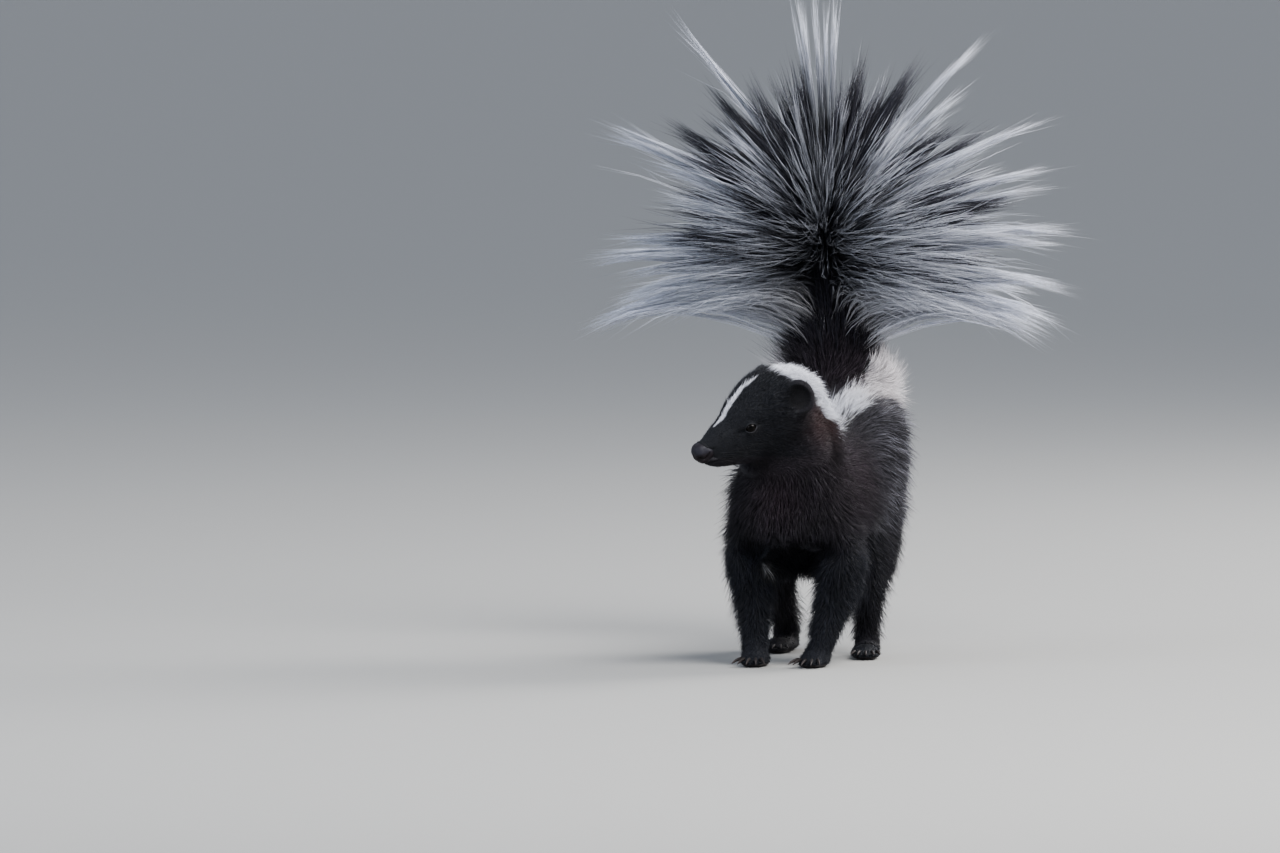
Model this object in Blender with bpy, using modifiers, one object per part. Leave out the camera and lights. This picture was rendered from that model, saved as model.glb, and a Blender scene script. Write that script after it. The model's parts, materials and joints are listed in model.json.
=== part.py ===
"""A young striped skunk at life size, standing with its head turned to its right and its tail fanned.

The animal faces -Y, its left side is +X and the floor is Z = 0. Each solid has the outline of the coat.
The body is modelled whole, as swept and round volumes under one fine surface, and parted with thin cuts.
Sizes and places are in millimetres until an object is made.
"""

import math

import bmesh
import bpy
from mathutils import Euler, Matrix, Vector

MM = 0.001
GAP = 0.3
# A size that is larger than the whole animal
BEYOND = 600

# Surfaces: the grain that volumes are melted at, the rounds of smoothing, and the triangles that are kept
BODY_VOXEL = 1.6
BODY_SMOOTHING = 7
BODY_TRIANGLES = 2650
PLUME_VOXEL = 2.6
PLUME_SMOOTHING = 3
PLUME_TRIANGLES = 1900

# Trunk, from the chest to the rump: (Y, height of the middle, half width, half height)
TRUNK_POWER = 2.35
TRUNK = (
    (-91, 97, 13, 18),
    (-86, 97, 24, 30),
    (-73, 97, 35, 39.5),
    (-50, 97, 40.5, 45),
    (-22, 97, 41.5, 48.5),
    (10, 99, 43, 52),
    (40, 104, 46, 56),
    (68, 108, 46, 54),
    (90, 110, 40, 47),
    (104, 112, 27, 34),
    (111, 113, 12, 18),
)
# Long fur that stands out at the top of each side of the rump: (middle of the left one, half sizes)
RUMP_FUR = ((26.5, 62, 134), (17.5, 44, 20))
# Breast between the tops of the forelegs: (middle, half sizes)
BREAST = ((0, -64, 82), (31, 21, 25))

# Neck, from inside the shoulders to the back of the skull: (place, half width, half depth)
NECK = (
    ((0, -46, 100), 35, 36),
    ((3, -60, 120), 32, 34),
    ((5, -69, 138), 27, 30),
    ((4.5, -75, 153), 22.6, 26),
    ((2, -80, 160), 17, 20),
)

# Head: where the middle of the skull is, and how it is turned
HEAD_AT = (-6, -85, 156)
HEAD_TURN_DEG = 53
HEAD_NOD_DEG = 20.5
HEAD_ROLL_DEG = 8
# From the nape to the muzzle: (distance forwards, height of the middle, half width, half height)
HEAD_POWER = 2.15
HEAD = (
    (-31.5, -1, 10, 9),
    (-25, 0.5, 18.5, 14.8),
    (-15, 2.2, 24.5, 21.2),
    (-3, 2, 26.4, 25.6),
    (6, 0.5, 24.6, 25.2),
    (16.5, -2.5, 20.4, 22.4),
    (26.8, -5.7, 16, 18.7),
    (36.3, -7.2, 12.6, 14.5),
    (45.2, -8.4, 9.6, 10.4),
    (52.2, -7.5, 6.8, 6.8),
)
EYE_AT = (14.4, 23.6, 0.4)
EYE_RADIUS = 4.1
NOSE_AT = (0, 53, -7)
NOSE_SIZE = (5.6, 5, 5.6)
EAR_AT = (25.2, -6.6, 9.5)
EAR_SIZE = (4.6, 10.6, 11.6)
EAR_TURN_DEG = (0, -16, 38)
EAR_HOLLOW_SHIFT = 4.3
EAR_HOLLOW_SHARE = 0.8
SMALL_DETAIL = 12
EAR_DETAIL = 14

# Legs from the trunk to the ankle: (place, half width, half depth)
LEGS = {
    "foreleg_left": (
        ((16, -52, 106), 9, 11),
        ((24, -57, 87), 17.5, 22),
        ((27.5, -53, 64), 16.5, 19.5),
        ((25.5, -54, 44), 13.8, 14.5),
        ((21, -58, 28), 11.2, 11),
        ((17.5, -61, 15), 9, 9),
        ((15.5, -63, 6), 8.6, 9),
    ),
    "foreleg_right": (
        ((-16, -52, 106), 9, 11),
        ((-24, -57, 87), 17, 22),
        ((-27.5, -53, 64), 15.5, 19.5),
        ((-25.5, -55, 44), 12.6, 14),
        ((-23.4, -59, 28), 10.8, 11),
        ((-22.4, -61, 15), 9, 9),
        ((-21.6, -63, 6), 8.6, 9),
    ),
    "hindleg_left": (
        ((16, 62, 122), 10, 16),
        ((27, 57, 95), 21, 31),
        ((31, 42, 70), 17, 27),
        ((30.5, 28, 48), 13, 19),
        ((27.5, 32, 32), 10, 13),
        ((25.5, 37, 18), 8.4, 9.5),
        ((25.8, 36, 8), 8, 9),
    ),
    "hindleg_right": (
        ((-16, 64, 122), 10, 16),
        ((-27, 60, 95), 21, 31),
        ((-32, 56, 70), 17, 27),
        ((-34, 50, 48), 13, 19),
        ((-33.5, 63, 32), 10, 13),
        ((-32.5, 76, 18), 8.4, 9.5),
        ((-32.4, 77, 8), 8, 9),
    ),
}

# Paws: (ball of the foot, heel, which way the toes point from straight ahead)
PAWS = {
    "forepaw_left": ((14.5, -66, 5.4), (15.5, -60, 5.6), -8),
    "forepaw_right": ((-21.5, -66, 5.4), (-21.5, -60, 5.6), -2),
    "hindpaw_left": ((30.5, 9, 5.2), (26, 36, 5.4), 12),
    "hindpaw_right": ((-31.5, 50, 5.2), (-32.4, 77, 5.4), 0),
}
PALM_SIZE = (10.2, 10, 6.6)
HEEL_SIZE = (8, 8.5, 6.6)
SOLE_SIZE = (8.6, 5.6)
SOLE_SINK = 1.2
TOES = 5
TOE_SPREAD_DEG = 15
TOE_REACH = {"forepaw": 12.5, "hindpaw": 13.5}
TOE_SHORTENING = 0.045
TOE_ROOT = 3
TOE_ROOT_SIZE = (3.9, 4.2)
TOE_RADIUS = 3.3
TOE_DROP = 1.4
CLAW_LENGTH = {"forepaw": 8.5, "hindpaw": 5}
CLAW_RADIUS = 1.15
CLAW_FLATNESS = 0.8
CLAW_SEAT = 1.6
CLAW_HEIGHT = 5.1
CLAW_DROP = 0.31
CLAW_CURVE = 1.6
CLAW_SIDES = 5
# Thickness along a claw: (share of the way, share of the thickness)
CLAW_TAPER = ((0, 1), (0.55, 0.8), (1, 0.3))

# Tail: the furred root, and the core that the long hair grows from: (place, half width, half depth)
TAIL_ROOT = (
    ((0, 70, 118), 34, 30),
    ((0, 86, 140), 35, 29),
    ((-2, 95, 162), 34, 27),
    ((-5, 98, 182), 30, 24),
    ((-7, 97, 200), 24, 20),
    ((-8, 95, 212), 16, 14),
)
PLUME_CORE = (
    ((-6, 98, 188), 24, 21),
    ((-8, 93, 212), 31, 27),
    ((-9, 87, 240), 33, 28),
    ((-10, 80, 270), 28, 24),
    ((-10, 73, 300), 20, 17),
    ((-10, 68, 322), 9, 8),
)
FAN_MIDDLE = (-9, 88, 231)
FAN_LEAN = 0.21
# The dense middle of the fan: (height above the fan's middle, half width, half depth, half height)
FAN_BODY = (30, 80, 31, 58)
# Locks at the fan's edge, white and long or dark and short: (angle from upright, reach, thickness)
EDGE_LOCKS = (
    (-105, 157, 15),
    (-97, 138, 12),
    (-88.5, 151, 14),
    (-73, 126, 16),
    (-57, 163, 14),
    (-45, 134, 16),
    (-30, 176, 12),
    (-20, 136, 15),
    (-9, 134, 14),
    (0, 177, 13),
    (12, 141, 15),
    (24, 144, 14),
    (35, 176, 12),
    (45, 137, 15),
    (55, 166, 13),
    (66, 157, 13),
    (81, 156, 15),
    (94, 148, 13),
    (105, 146, 15),
)
# Locks that lean out of the fan's face: (lean, reach, angles from upright)
LEANING_LOCKS = (
    (-37, 100, (-84, -52, -18, 18, 52, 84)),
    (35, 114, (-86, -52, -18, 18, 52, 86)),
    (62, 96, (-62, -22, 22, 62)),
)
LEANING_WIDTH = 19
LOCK_RISE_DEG = 13
LOCK_FULL_RISE_AT_DEG = 40
LOCK_BEND = 0.55
# A lock grows from the core at this height over the fan's middle, plus this much times its upright share
LOCK_ROOT = (-14, 62)
# Thickness along a lock: (share of the way, share of the thickness)
LOCK_TAPER = ((0, 0.8), (0.3, 1), (0.55, 0.95), (0.75, 0.74), (0.9, 0.43), (1, 0.2))
PLUME_PARTING_DEG = 45
SEAT_ROOM = 2.5

# Blocks that part the body: (node, middle, size, turn in degrees)
PARTINGS = (
    ("forepaw_left", (16, -70, -7), (34, 60, 40), (0, 0, 0)),
    ("forepaw_right", (-24, -70, -7), (34, 60, 40), (0, 0, 0)),
    ("hindpaw_left", (28, 18, -7), (44, 80, 40), (0, 0, 0)),
    ("hindpaw_right", (-33, 58, -7), (44, 84, 40), (0, 0, 0)),
    ("foreleg_left", (33, -56, 32), (52, 56, 66), (0, -26, 0)),
    ("foreleg_right", (-33, -56, 32), (50, 56, 66), (0, 26, 0)),
    ("hindleg_left", (38, 40, 30), (60, 78, 82), (-14, -20, 0)),
    ("hindleg_right", (-40, 63, 30), (60, 78, 82), (-14, 20, 0)),
    ("tail_root", (-3, 104, 200), (110, 70, 82), (-24, 0, 0)),
)
HEAD_PARTING = ((0, -41, 14.5), (84, 126, 99), (0, 0, 0))
NECK_PARTING = ((0, -113.4, 163.4), (130, 120, 200), (-45, 0, 0))

COLOURS = {
    "coat_black": ((0.022, 0.02, 0.024), 0.62),
    "plume_white": ((0.72, 0.72, 0.76), 0.6),
    "eye_dark": ((0.012, 0.009, 0.008), 0.08),
    "nose_leather": ((0.045, 0.035, 0.042), 0.42),
    "claw_horn": ((0.12, 0.1, 0.09), 0.35),
}


def clear_scene():
    for obj in list(bpy.data.objects):
        bpy.data.objects.remove(obj)


def collection(name):
    made = bpy.data.collections.new(name)
    bpy.context.scene.collection.children.link(made)
    return made


def material(name):
    colour, roughness = COLOURS[name]
    made = bpy.data.materials.new(name)
    made.use_nodes = True
    shader = made.node_tree.nodes["Principled BSDF"]
    shader.inputs["Base Color"].default_value = (*colour, 1)
    shader.inputs["Roughness"].default_value = roughness
    return made


def flowing(stations, steps=4):
    """The stations with others between them, on a smooth curve through each of their numbers."""
    flat = [(*at, a, b) for at, a, b in stations]
    ends = [flat[0], *flat, flat[-1]]
    found = []
    for i in range(1, len(ends) - 2):
        for k in range(steps):
            t = k / steps
            row = []
            for p0, p1, p2, p3 in zip(ends[i - 1], ends[i], ends[i + 1], ends[i + 2]):
                row.append(
                    0.5
                    * (
                        2 * p1
                        + (p2 - p0) * t
                        + (2 * p0 - 5 * p1 + 4 * p2 - p3) * t * t
                        + (3 * p1 - p0 - 3 * p2 + p3) * t**3
                    )
                )
            found.append(row)
    found.append(list(flat[-1]))
    return [(Vector(row[:3]), row[3], row[4]) for row in found]


def sweep(body, stations, power=2.0, sides=28, place=None, across=(1, 0, 0), flat=False):
    """Adds to body a closed tube of oval sections, square to the line of their middles."""
    path = stations if flat else flowing(stations)
    rings = []
    for i, (middle, half_width, half_depth) in enumerate(path):
        along = (path[min(i + 1, len(path) - 1)][0] - path[max(i - 1, 0)][0]).normalized()
        wide = (Vector(across) - along * along.dot(Vector(across))).normalized()
        deep = along.cross(wide)
        ring = []
        for k in range(sides):
            turn = 2 * math.pi * k / sides
            c, s = math.cos(turn), math.sin(turn)
            out = (abs(c) ** power + abs(s) ** power) ** (-1 / power)
            point = middle + wide * (c * out * half_width) + deep * (s * out * half_depth)
            ring.append(body.verts.new(place @ point if place else point))
        rings.append(ring)
    for low, high in zip(rings, rings[1:]):
        for k in range(sides):
            body.faces.new((low[k], low[(k + 1) % sides], high[(k + 1) % sides], high[k]))
    body.faces.new(rings[0][::-1])
    body.faces.new(rings[-1])


def ball(body, at, size, place=None, turn=(0, 0, 0), detail=16):
    """Adds to body an ellipsoid."""
    spin = Euler([math.radians(a) for a in turn]).to_matrix().to_4x4()
    matrix = Matrix.Translation(at) @ spin @ Matrix.Diagonal((*size, 1))
    bmesh.ops.create_uvsphere(
        body,
        u_segments=detail,
        v_segments=detail // 2,
        radius=1,
        matrix=place @ matrix if place else matrix,
    )


def as_object(name, body, holder):
    """An object from a bmesh in millimetres, facing outwards."""
    bmesh.ops.recalc_face_normals(body, faces=body.faces)
    bmesh.ops.scale(body, vec=(MM, MM, MM), verts=body.verts)
    mesh = bpy.data.meshes.new(name)
    body.to_mesh(mesh)
    body.free()
    obj = bpy.data.objects.new(name, mesh)
    holder.objects.link(obj)
    return obj


def settle(obj):
    """Bakes the object's modifiers into its mesh."""
    bpy.context.view_layer.update()
    graph = bpy.context.evaluated_depsgraph_get()
    obj.data = bpy.data.meshes.new_from_object(obj.evaluated_get(graph))
    obj.modifiers.clear()


def one_surface(obj, voxel, smoothing, triangles):
    """Melts overlapping volumes into one smooth closed surface with about that many triangles."""
    remesh = obj.modifiers.new("One_surface", "REMESH")
    remesh.mode = "VOXEL"
    remesh.voxel_size = voxel * MM
    smooth = obj.modifiers.new("Soften", "SMOOTH")
    smooth.factor = 0.5
    smooth.iterations = smoothing
    settle(obj)
    count = sum(len(face.vertices) - 2 for face in obj.data.polygons)
    fewer = obj.modifiers.new("Fewer", "DECIMATE")
    fewer.ratio = triangles / count
    settle(obj)


def boolean(obj, cutter, operation):
    """Cuts obj with a closed mesh, or keeps what they share."""
    cut = obj.modifiers.new("Cut", "BOOLEAN")
    cut.operation = operation
    cut.object = cutter
    cut.solver = "EXACT"
    settle(obj)


def hide(cutter):
    cutter.hide_render = True
    cutter.display_type = "WIRE"
    return cutter


def block(middle, size, turn, cutters, grow=0.0, place=None):
    """A box for cutting, grown by that much on every side."""
    body = bmesh.new()
    spin = Euler([math.radians(a) for a in turn]).to_matrix().to_4x4()
    grown = [side + 2 * grow for side in size]
    matrix = Matrix.Translation(middle) @ spin @ Matrix.Diagonal((*grown, 1))
    bmesh.ops.create_cube(body, size=1, matrix=place @ matrix if place else matrix)
    return hide(as_object("Parting_block", body, cutters))


def largest_piece(obj):
    """Drops crumbs that a cut left beside the main piece."""
    body = bmesh.new()
    body.from_mesh(obj.data)
    unseen = set(body.verts)
    islands = []
    while unseen:
        front = [unseen.pop()]
        island = set(front)
        while front:
            for edge in front.pop().link_edges:
                for vert in edge.verts:
                    if vert in unseen:
                        unseen.discard(vert)
                        island.add(vert)
                        front.append(vert)
        islands.append(island)
    islands.sort(key=len)
    crumbs = [vert for island in islands[:-1] for vert in island]
    bmesh.ops.delete(body, geom=crumbs, context="VERTS")
    body.to_mesh(obj.data)
    body.free()


def part_off(name, whole, cutter_at, parts, cutters, place=None):
    """Splits the piece inside a block off from the whole, with a thin gap between them."""
    piece = bpy.data.objects.new(name, whole.data.copy())
    parts.objects.link(piece)
    boolean(piece, block(*cutter_at, cutters, place=place), "INTERSECT")
    boolean(whole, block(*cutter_at, cutters, grow=GAP, place=place), "DIFFERENCE")
    largest_piece(piece)
    largest_piece(whole)
    return piece


def head_place():
    """The skull's own frame: X is its left, +Y its back and Z its crown, in millimetres."""
    turn = Matrix.Rotation(math.radians(-HEAD_TURN_DEG), 4, "Z")
    nod = Matrix.Rotation(math.radians(HEAD_NOD_DEG), 4, "X")
    roll = Matrix.Rotation(math.radians(HEAD_ROLL_DEG), 4, "Y")
    return Matrix.Translation(HEAD_AT) @ turn @ nod @ roll


def on_head(side, forward, up):
    return Vector((side, -forward, up))


def add_trunk(body):
    sweep(body, [((0, y, z), w, h) for y, z, w, h in TRUNK], power=TRUNK_POWER)


def add_head(body):
    stations = [((0, -forward, up), w, h) for forward, up, w, h in HEAD]
    sweep(body, stations, power=HEAD_POWER, place=head_place())


def toes(paw):
    """The root, the tip and the way of each of a paw's toes."""
    ball_at, _, turn = PAWS[paw]
    reach = TOE_REACH[paw.split("_")[0]]
    for i in range(TOES):
        from_middle = i - (TOES - 1) / 2
        angle = math.radians(turn + from_middle * TOE_SPREAD_DEG)
        way = Vector((math.sin(angle), -math.cos(angle), 0))
        length = reach * (1 - TOE_SHORTENING * from_middle**2)
        tip = Vector(ball_at) + way * length - Vector((0, 0, TOE_DROP))
        yield Vector(ball_at) + way * TOE_ROOT, tip, way


def add_paw(body, paw):
    ball_at, heel_at, turn = PAWS[paw]
    ball(body, ball_at, PALM_SIZE, turn=(0, 0, turn))
    ball(body, heel_at, HEEL_SIZE)
    sweep(body, [(Vector(place), *SOLE_SIZE) for place in (heel_at, ball_at)], flat=True)
    for root, tip, _ in toes(paw):
        toe = [(root, *TOE_ROOT_SIZE), (tip, TOE_RADIUS, TOE_RADIUS)]
        sweep(body, toe, flat=True, sides=SMALL_DETAIL)
        ball(body, tip, (TOE_RADIUS,) * 3, detail=SMALL_DETAIL)


def claw(paw, number, tip, way, holder, grow=0.0):
    """A curved tapering claw that points down and ahead of its toe."""
    length = CLAW_LENGTH[paw.split("_")[0]]
    root = Vector((tip.x, tip.y, CLAW_HEIGHT)) + way * (TOE_RADIUS - CLAW_SEAT - grow)
    stations = []
    for share, thick in CLAW_TAPER:
        drop = Vector((0, 0, -CLAW_DROP * length * share**CLAW_CURVE))
        radius = CLAW_RADIUS * thick + grow
        stations.append((root + way * (length * share) + drop, radius * CLAW_FLATNESS, radius))
    body = bmesh.new()
    sweep(body, stations, flat=True, sides=CLAW_SIDES)
    return as_object(f"claw_{paw}_{number}", body, holder)


def fan_point(angle, reach, lean=0.0):
    """A place at an angle from upright round the fan's middle, leaning out of its face."""
    upright = Vector((0, -FAN_LEAN, 1)).normalized()
    outwards = Vector((1, 0, 0)) * math.sin(angle) + upright * math.cos(angle)
    back = Vector((0, upright.z, -upright.y))
    return Vector(FAN_MIDDLE) + (outwards * math.cos(lean) + back * math.sin(lean)) * reach


def core_point(height):
    """The middle of the tail's core at a height."""
    path = flowing(PLUME_CORE)
    return min(path, key=lambda station: abs(station[0].z - height))[0]


def lock(body, angle_deg, reach, width, lean_deg=0.0):
    """A lock of long hair, from the tail's core out to its tip, rising and then bending over."""
    angle, lean = math.radians(angle_deg), math.radians(lean_deg)
    low, high = LOCK_ROOT
    root = core_point(FAN_MIDDLE[2] + low + high * math.cos(angle))
    bend = max(-1, min(1, angle_deg / LOCK_FULL_RISE_AT_DEG))
    rise = math.radians(LOCK_RISE_DEG) * bend
    elbow = fan_point(angle - rise, reach * LOCK_BEND, lean)
    tip = fan_point(angle, reach, lean)
    stations = []
    for share, thick in LOCK_TAPER:
        at = root * (1 - share) ** 2 + elbow * (2 * share * (1 - share)) + tip * share**2
        stations.append((at, width * thick, width * thick * 0.92))
    sweep(body, stations, sides=12, across=(0, 1, 0.1), flat=True)


def make_body(parts, cutters):
    """The whole coated animal without its plume, as one closed surface on the floor."""
    body = bmesh.new()
    add_trunk(body)
    sweep(body, NECK)
    add_head(body)
    for stations in LEGS.values():
        sweep(body, stations)
    for paw in PAWS:
        add_paw(body, paw)
    sweep(body, TAIL_ROOT)
    (x, y, z), size = RUMP_FUR
    for side in (-1, 1):
        ball(body, (side * x, y, z), size, detail=24)
    ball(body, *BREAST, detail=24)
    bmesh.ops.translate(body, vec=(0, 0, -SOLE_SINK), verts=body.verts)
    whole = as_object("trunk", body, parts)
    one_surface(whole, BODY_VOXEL, BODY_SMOOTHING, BODY_TRIANGLES)
    below = block((0, 0, -BEYOND / 2), (BEYOND, BEYOND, BEYOND), (0, 0, 0), cutters)
    boolean(whole, below, "DIFFERENCE")
    return whole


def round_piece(name, at, size, holder, turn=(0, 0, 0), grow=0.0, detail=SMALL_DETAIL):
    body = bmesh.new()
    ball(body, at, [side + grow for side in size], head_place(), turn, detail)
    return as_object(name, body, holder)


def add_eyes_and_nose(head, parts, cutters):
    for side, name in ((1, "eye_left"), (-1, "eye_right")):
        at = on_head(side * EYE_AT[0], EYE_AT[1], EYE_AT[2])
        size = (EYE_RADIUS,) * 3
        round_piece(name, at, size, parts)
        boolean(head, hide(round_piece("Socket", at, size, cutters, grow=GAP)), "DIFFERENCE")
    at = on_head(*NOSE_AT)
    round_piece("nose", at, NOSE_SIZE, parts)
    boolean(head, hide(round_piece("Nose_seat", at, NOSE_SIZE, cutters, grow=GAP)), "DIFFERENCE")


def add_ears(head, parts, cutters):
    """Round cupped ears, set into the sides of the head."""
    for side, name in ((1, "ear_left"), (-1, "ear_right")):
        at = on_head(side * EAR_AT[0], EAR_AT[1], EAR_AT[2])
        turn = (EAR_TURN_DEG[0], side * EAR_TURN_DEG[1], -side * EAR_TURN_DEG[2])
        ear = round_piece(name, at, EAR_SIZE, parts, turn, detail=EAR_DETAIL)
        spin = Euler([math.radians(a) for a in turn]).to_matrix()
        out = spin @ Vector((side, 0, 0))
        hollow = [s * EAR_HOLLOW_SHARE for s in EAR_SIZE]
        cutter = round_piece("Hollow", at + out * EAR_HOLLOW_SHIFT, hollow, cutters, turn)
        boolean(ear, hide(cutter), "DIFFERENCE")
        seat = round_piece("Ear_seat", at, EAR_SIZE, cutters, turn, GAP, EAR_DETAIL)
        boolean(head, hide(seat), "DIFFERENCE")


def add_claws(paws, parts, cutters):
    for paw, piece in paws.items():
        for number, (_, tip, way) in enumerate(toes(paw), 1):
            claw(paw, number, tip, way, parts)
            boolean(piece, hide(claw(paw, number, tip, way, cutters, GAP)), "DIFFERENCE")


def seat_round(piece, cutters):
    """A copy of a round piece, a little larger all over, to cut its seat in another."""
    seat = bpy.data.objects.new("Round_seat", piece.data.copy())
    cutters.objects.link(hide(seat))
    middle = sum((v.co for v in seat.data.vertices), Vector()) / len(seat.data.vertices)
    narrowest = min((v.co - middle).length for v in seat.data.vertices)
    growth = 1 + SEAT_ROOM * GAP * MM / narrowest
    for vert in seat.data.vertices:
        vert.co = middle + (vert.co - middle) * growth
    return seat


def make_plume(parts, cutters, tail_root):
    """The fan of long tail hair, parted into its left, top and right."""
    body = bmesh.new()
    sweep(body, PLUME_CORE)
    height, *sizes = FAN_BODY
    ball(body, fan_point(0, height), sizes, turn=(math.degrees(math.atan(FAN_LEAN)), 0, 0), detail=32)
    for angle, reach, width in EDGE_LOCKS:
        lock(body, angle, reach, width)
    for lean, reach, angles in LEANING_LOCKS:
        for angle in angles:
            lock(body, angle, reach, LEANING_WIDTH, lean)
    plume = as_object("plume_top", body, parts)
    one_surface(plume, PLUME_VOXEL, PLUME_SMOOTHING, PLUME_TRIANGLES)
    boolean(plume, seat_round(tail_root, cutters), "DIFFERENCE")
    largest_piece(plume)
    for side, name in ((-1, "plume_right"), (1, "plume_left")):
        turn = side * PLUME_PARTING_DEG
        place = Matrix.Translation(FAN_MIDDLE) @ Matrix.Rotation(math.radians(turn), 4, "Y")
        half_space = ((side * BEYOND / 2, 0, 0), (BEYOND,) * 3, (0, 0, 0))
        part_off(name, plume, half_space, parts, cutters, place)


def finish_pieces(parts):
    """Gives each piece its material and smooth shading."""
    kinds = {
        "plume": "plume_white",
        "eye": "eye_dark",
        "nose": "nose_leather",
        "claw": "claw_horn",
    }
    made = {name: material(name) for name in COLOURS}
    for obj in parts.objects:
        kind = kinds.get(obj.name.split("_")[0], "coat_black")
        obj.data.materials.clear()
        obj.data.materials.append(made[kind])
        obj.data.shade_smooth()
        obj.data.set_sharp_from_angle(angle=math.radians(40))


def centre_on_floor(parts):
    """Puts the origin on the floor, in the middle of the animal's box."""
    corners = [v.co for obj in parts.objects for v in obj.data.vertices]
    low = [min(c[i] for c in corners) for i in range(3)]
    high = [max(c[i] for c in corners) for i in range(3)]
    shift = Vector((-(low[0] + high[0]) / 2, -(low[1] + high[1]) / 2, -low[2]))
    for obj in parts.objects:
        obj.data.transform(Matrix.Translation(shift))


def main():
    clear_scene()
    parts = collection("Striped_skunk")
    cutters = collection("Cutters")
    cutters.hide_render = True
    whole = make_body(parts, cutters)
    pieces = {}
    for name, middle, size, turn in PARTINGS:
        pieces[name] = part_off(name, whole, (middle, size, turn), parts, cutters)
    head = part_off("head", whole, HEAD_PARTING, parts, cutters, head_place())
    part_off("neck", whole, NECK_PARTING, parts, cutters)
    add_ears(head, parts, cutters)
    add_eyes_and_nose(head, parts, cutters)
    add_claws({paw: pieces[paw] for paw in PAWS}, parts, cutters)
    make_plume(parts, cutters, pieces["tail_root"])
    finish_pieces(parts)
    centre_on_floor(parts)


main()
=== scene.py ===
"""A young striped skunk, life size: its skin, coat, plume, eyes, nose, whiskers and claws.

Lengths are in millimetres in the frame that the animal was drawn in, whose origin is on the floor below its
trunk. placed() takes such points to the row frame, in metres.
"""

import json
import math

import bmesh
import bpy
import numpy as np
from bpy.props import FloatProperty, FloatVectorProperty, IntProperty, PointerProperty
from mathutils import Matrix, Vector
from mathutils.bvhtree import BVHTree
from mathutils.kdtree import KDTree

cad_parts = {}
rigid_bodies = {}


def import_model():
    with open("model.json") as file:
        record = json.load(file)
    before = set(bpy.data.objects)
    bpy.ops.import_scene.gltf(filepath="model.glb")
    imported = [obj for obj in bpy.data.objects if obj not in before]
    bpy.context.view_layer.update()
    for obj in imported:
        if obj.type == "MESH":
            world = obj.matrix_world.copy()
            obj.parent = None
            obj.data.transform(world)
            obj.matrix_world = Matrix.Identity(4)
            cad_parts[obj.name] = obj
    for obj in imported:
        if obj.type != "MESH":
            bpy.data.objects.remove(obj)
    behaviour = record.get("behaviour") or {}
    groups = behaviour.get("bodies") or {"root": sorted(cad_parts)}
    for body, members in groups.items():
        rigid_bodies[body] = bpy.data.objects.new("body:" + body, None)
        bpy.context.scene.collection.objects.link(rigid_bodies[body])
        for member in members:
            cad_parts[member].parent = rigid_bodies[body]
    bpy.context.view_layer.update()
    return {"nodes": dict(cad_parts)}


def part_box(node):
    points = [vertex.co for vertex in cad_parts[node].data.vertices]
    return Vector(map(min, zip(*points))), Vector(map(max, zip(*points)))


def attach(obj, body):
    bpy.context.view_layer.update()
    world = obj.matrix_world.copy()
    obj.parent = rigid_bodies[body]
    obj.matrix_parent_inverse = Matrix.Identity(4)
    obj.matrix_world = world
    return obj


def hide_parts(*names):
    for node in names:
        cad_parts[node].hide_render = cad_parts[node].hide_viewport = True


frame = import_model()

bl_info = {
    "name": "Striped Skunk",
    "version": (1, 0, 0),
    "blender": (4, 5, 0),
    "location": "3D View > Sidebar > Skunk",
    "description": "Builds the skin, coat, plume and features of a still, life-size striped skunk",
    "category": "Object",
}

MM = 0.001

# The skull's frame: X is its left, -Y its front and Z its crown
HEAD_AT = (-6, -85, 156)
HEAD_TURNS_DEG = (("Z", -53), ("X", 20.5), ("Y", 8))
# In that frame: the left eye and ear with the ways they face, and the nose
EYE_AT, EYE_FACES, EYE_RADIUS = (14.4, -23.6, 0.4), (0.86, -0.46, 0.14), 4.1
EYEBALL_RADIUS = EYE_RADIUS * 0.985
EAR_AT, EAR_FACES = (25.2, 6.6, 9.5), (0.757, -0.592, 0.276)
NOSE_AT, NOSE_SEAT = (0, -53, -7), 5.2

# Each kind of furred node: the depth of its coat, the length, width and lift (in degrees) of its hair and the
# room between tufts, then the way that the hair lies, which is in the skull's frame on the head and the ears
MEASURES = ("depth", "length", "width", "lift", "room")
FUR = {
    "head": ((1.3, 4.6, 0.43, 19, 0.77), (0, 1, -0.12)),
    "ear": ((0.4, 1.8, 0.36, 26, 0.72), (0.3, 0.5, 1)),
    "neck": ((3.2, 9.0, 0.54, 32, 0.95), (0, 0.5, -0.87)),
    "trunk": ((4.6, 11.5, 0.6, 34, 1.25), (0, 0.85, -0.4)),
    "foreleg": ((2.6, 8.5, 0.54, 33, 1.1), (0, 0.3, -1)),
    "hindleg": ((3.4, 10.5, 0.56, 34, 1.2), (0, 0.3, -1)),
    "forepaw": ((0.6, 3.0, 0.42, 20, 0.9), (0, -1, -0.25)),
    "hindpaw": ((0.6, 3.0, 0.42, 20, 0.9), (0, -1, -0.25)),
    "tail_root": ((4.6, 12.5, 0.6, 30, 1.1), (0, 0.1, 1)),
}
SINGLE = ("head", "neck", "trunk", "tail_root")
# The furred nodes, with the kind of each
COAT = {kind + side: kind for kind in FUR for side in (("",) if kind in SINGLE else ("_left", "_right"))}
KINDS = np.array(list(COAT.values()))
# Coat pieces, with the kinds of node that each covers
COAT_PIECES = {
    "coat_head": ("head", "ear"),
    "coat_neck": ("neck",),
    "coat_trunk_left": ("trunk",),
    "coat_trunk_right": ("trunk",),
    "coat_forelegs": ("foreleg",),
    "coat_hindlegs": ("hindleg",),
    "coat_paws": ("forepaw", "hindpaw"),
    "coat_tail_root": ("tail_root",),
}
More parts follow.
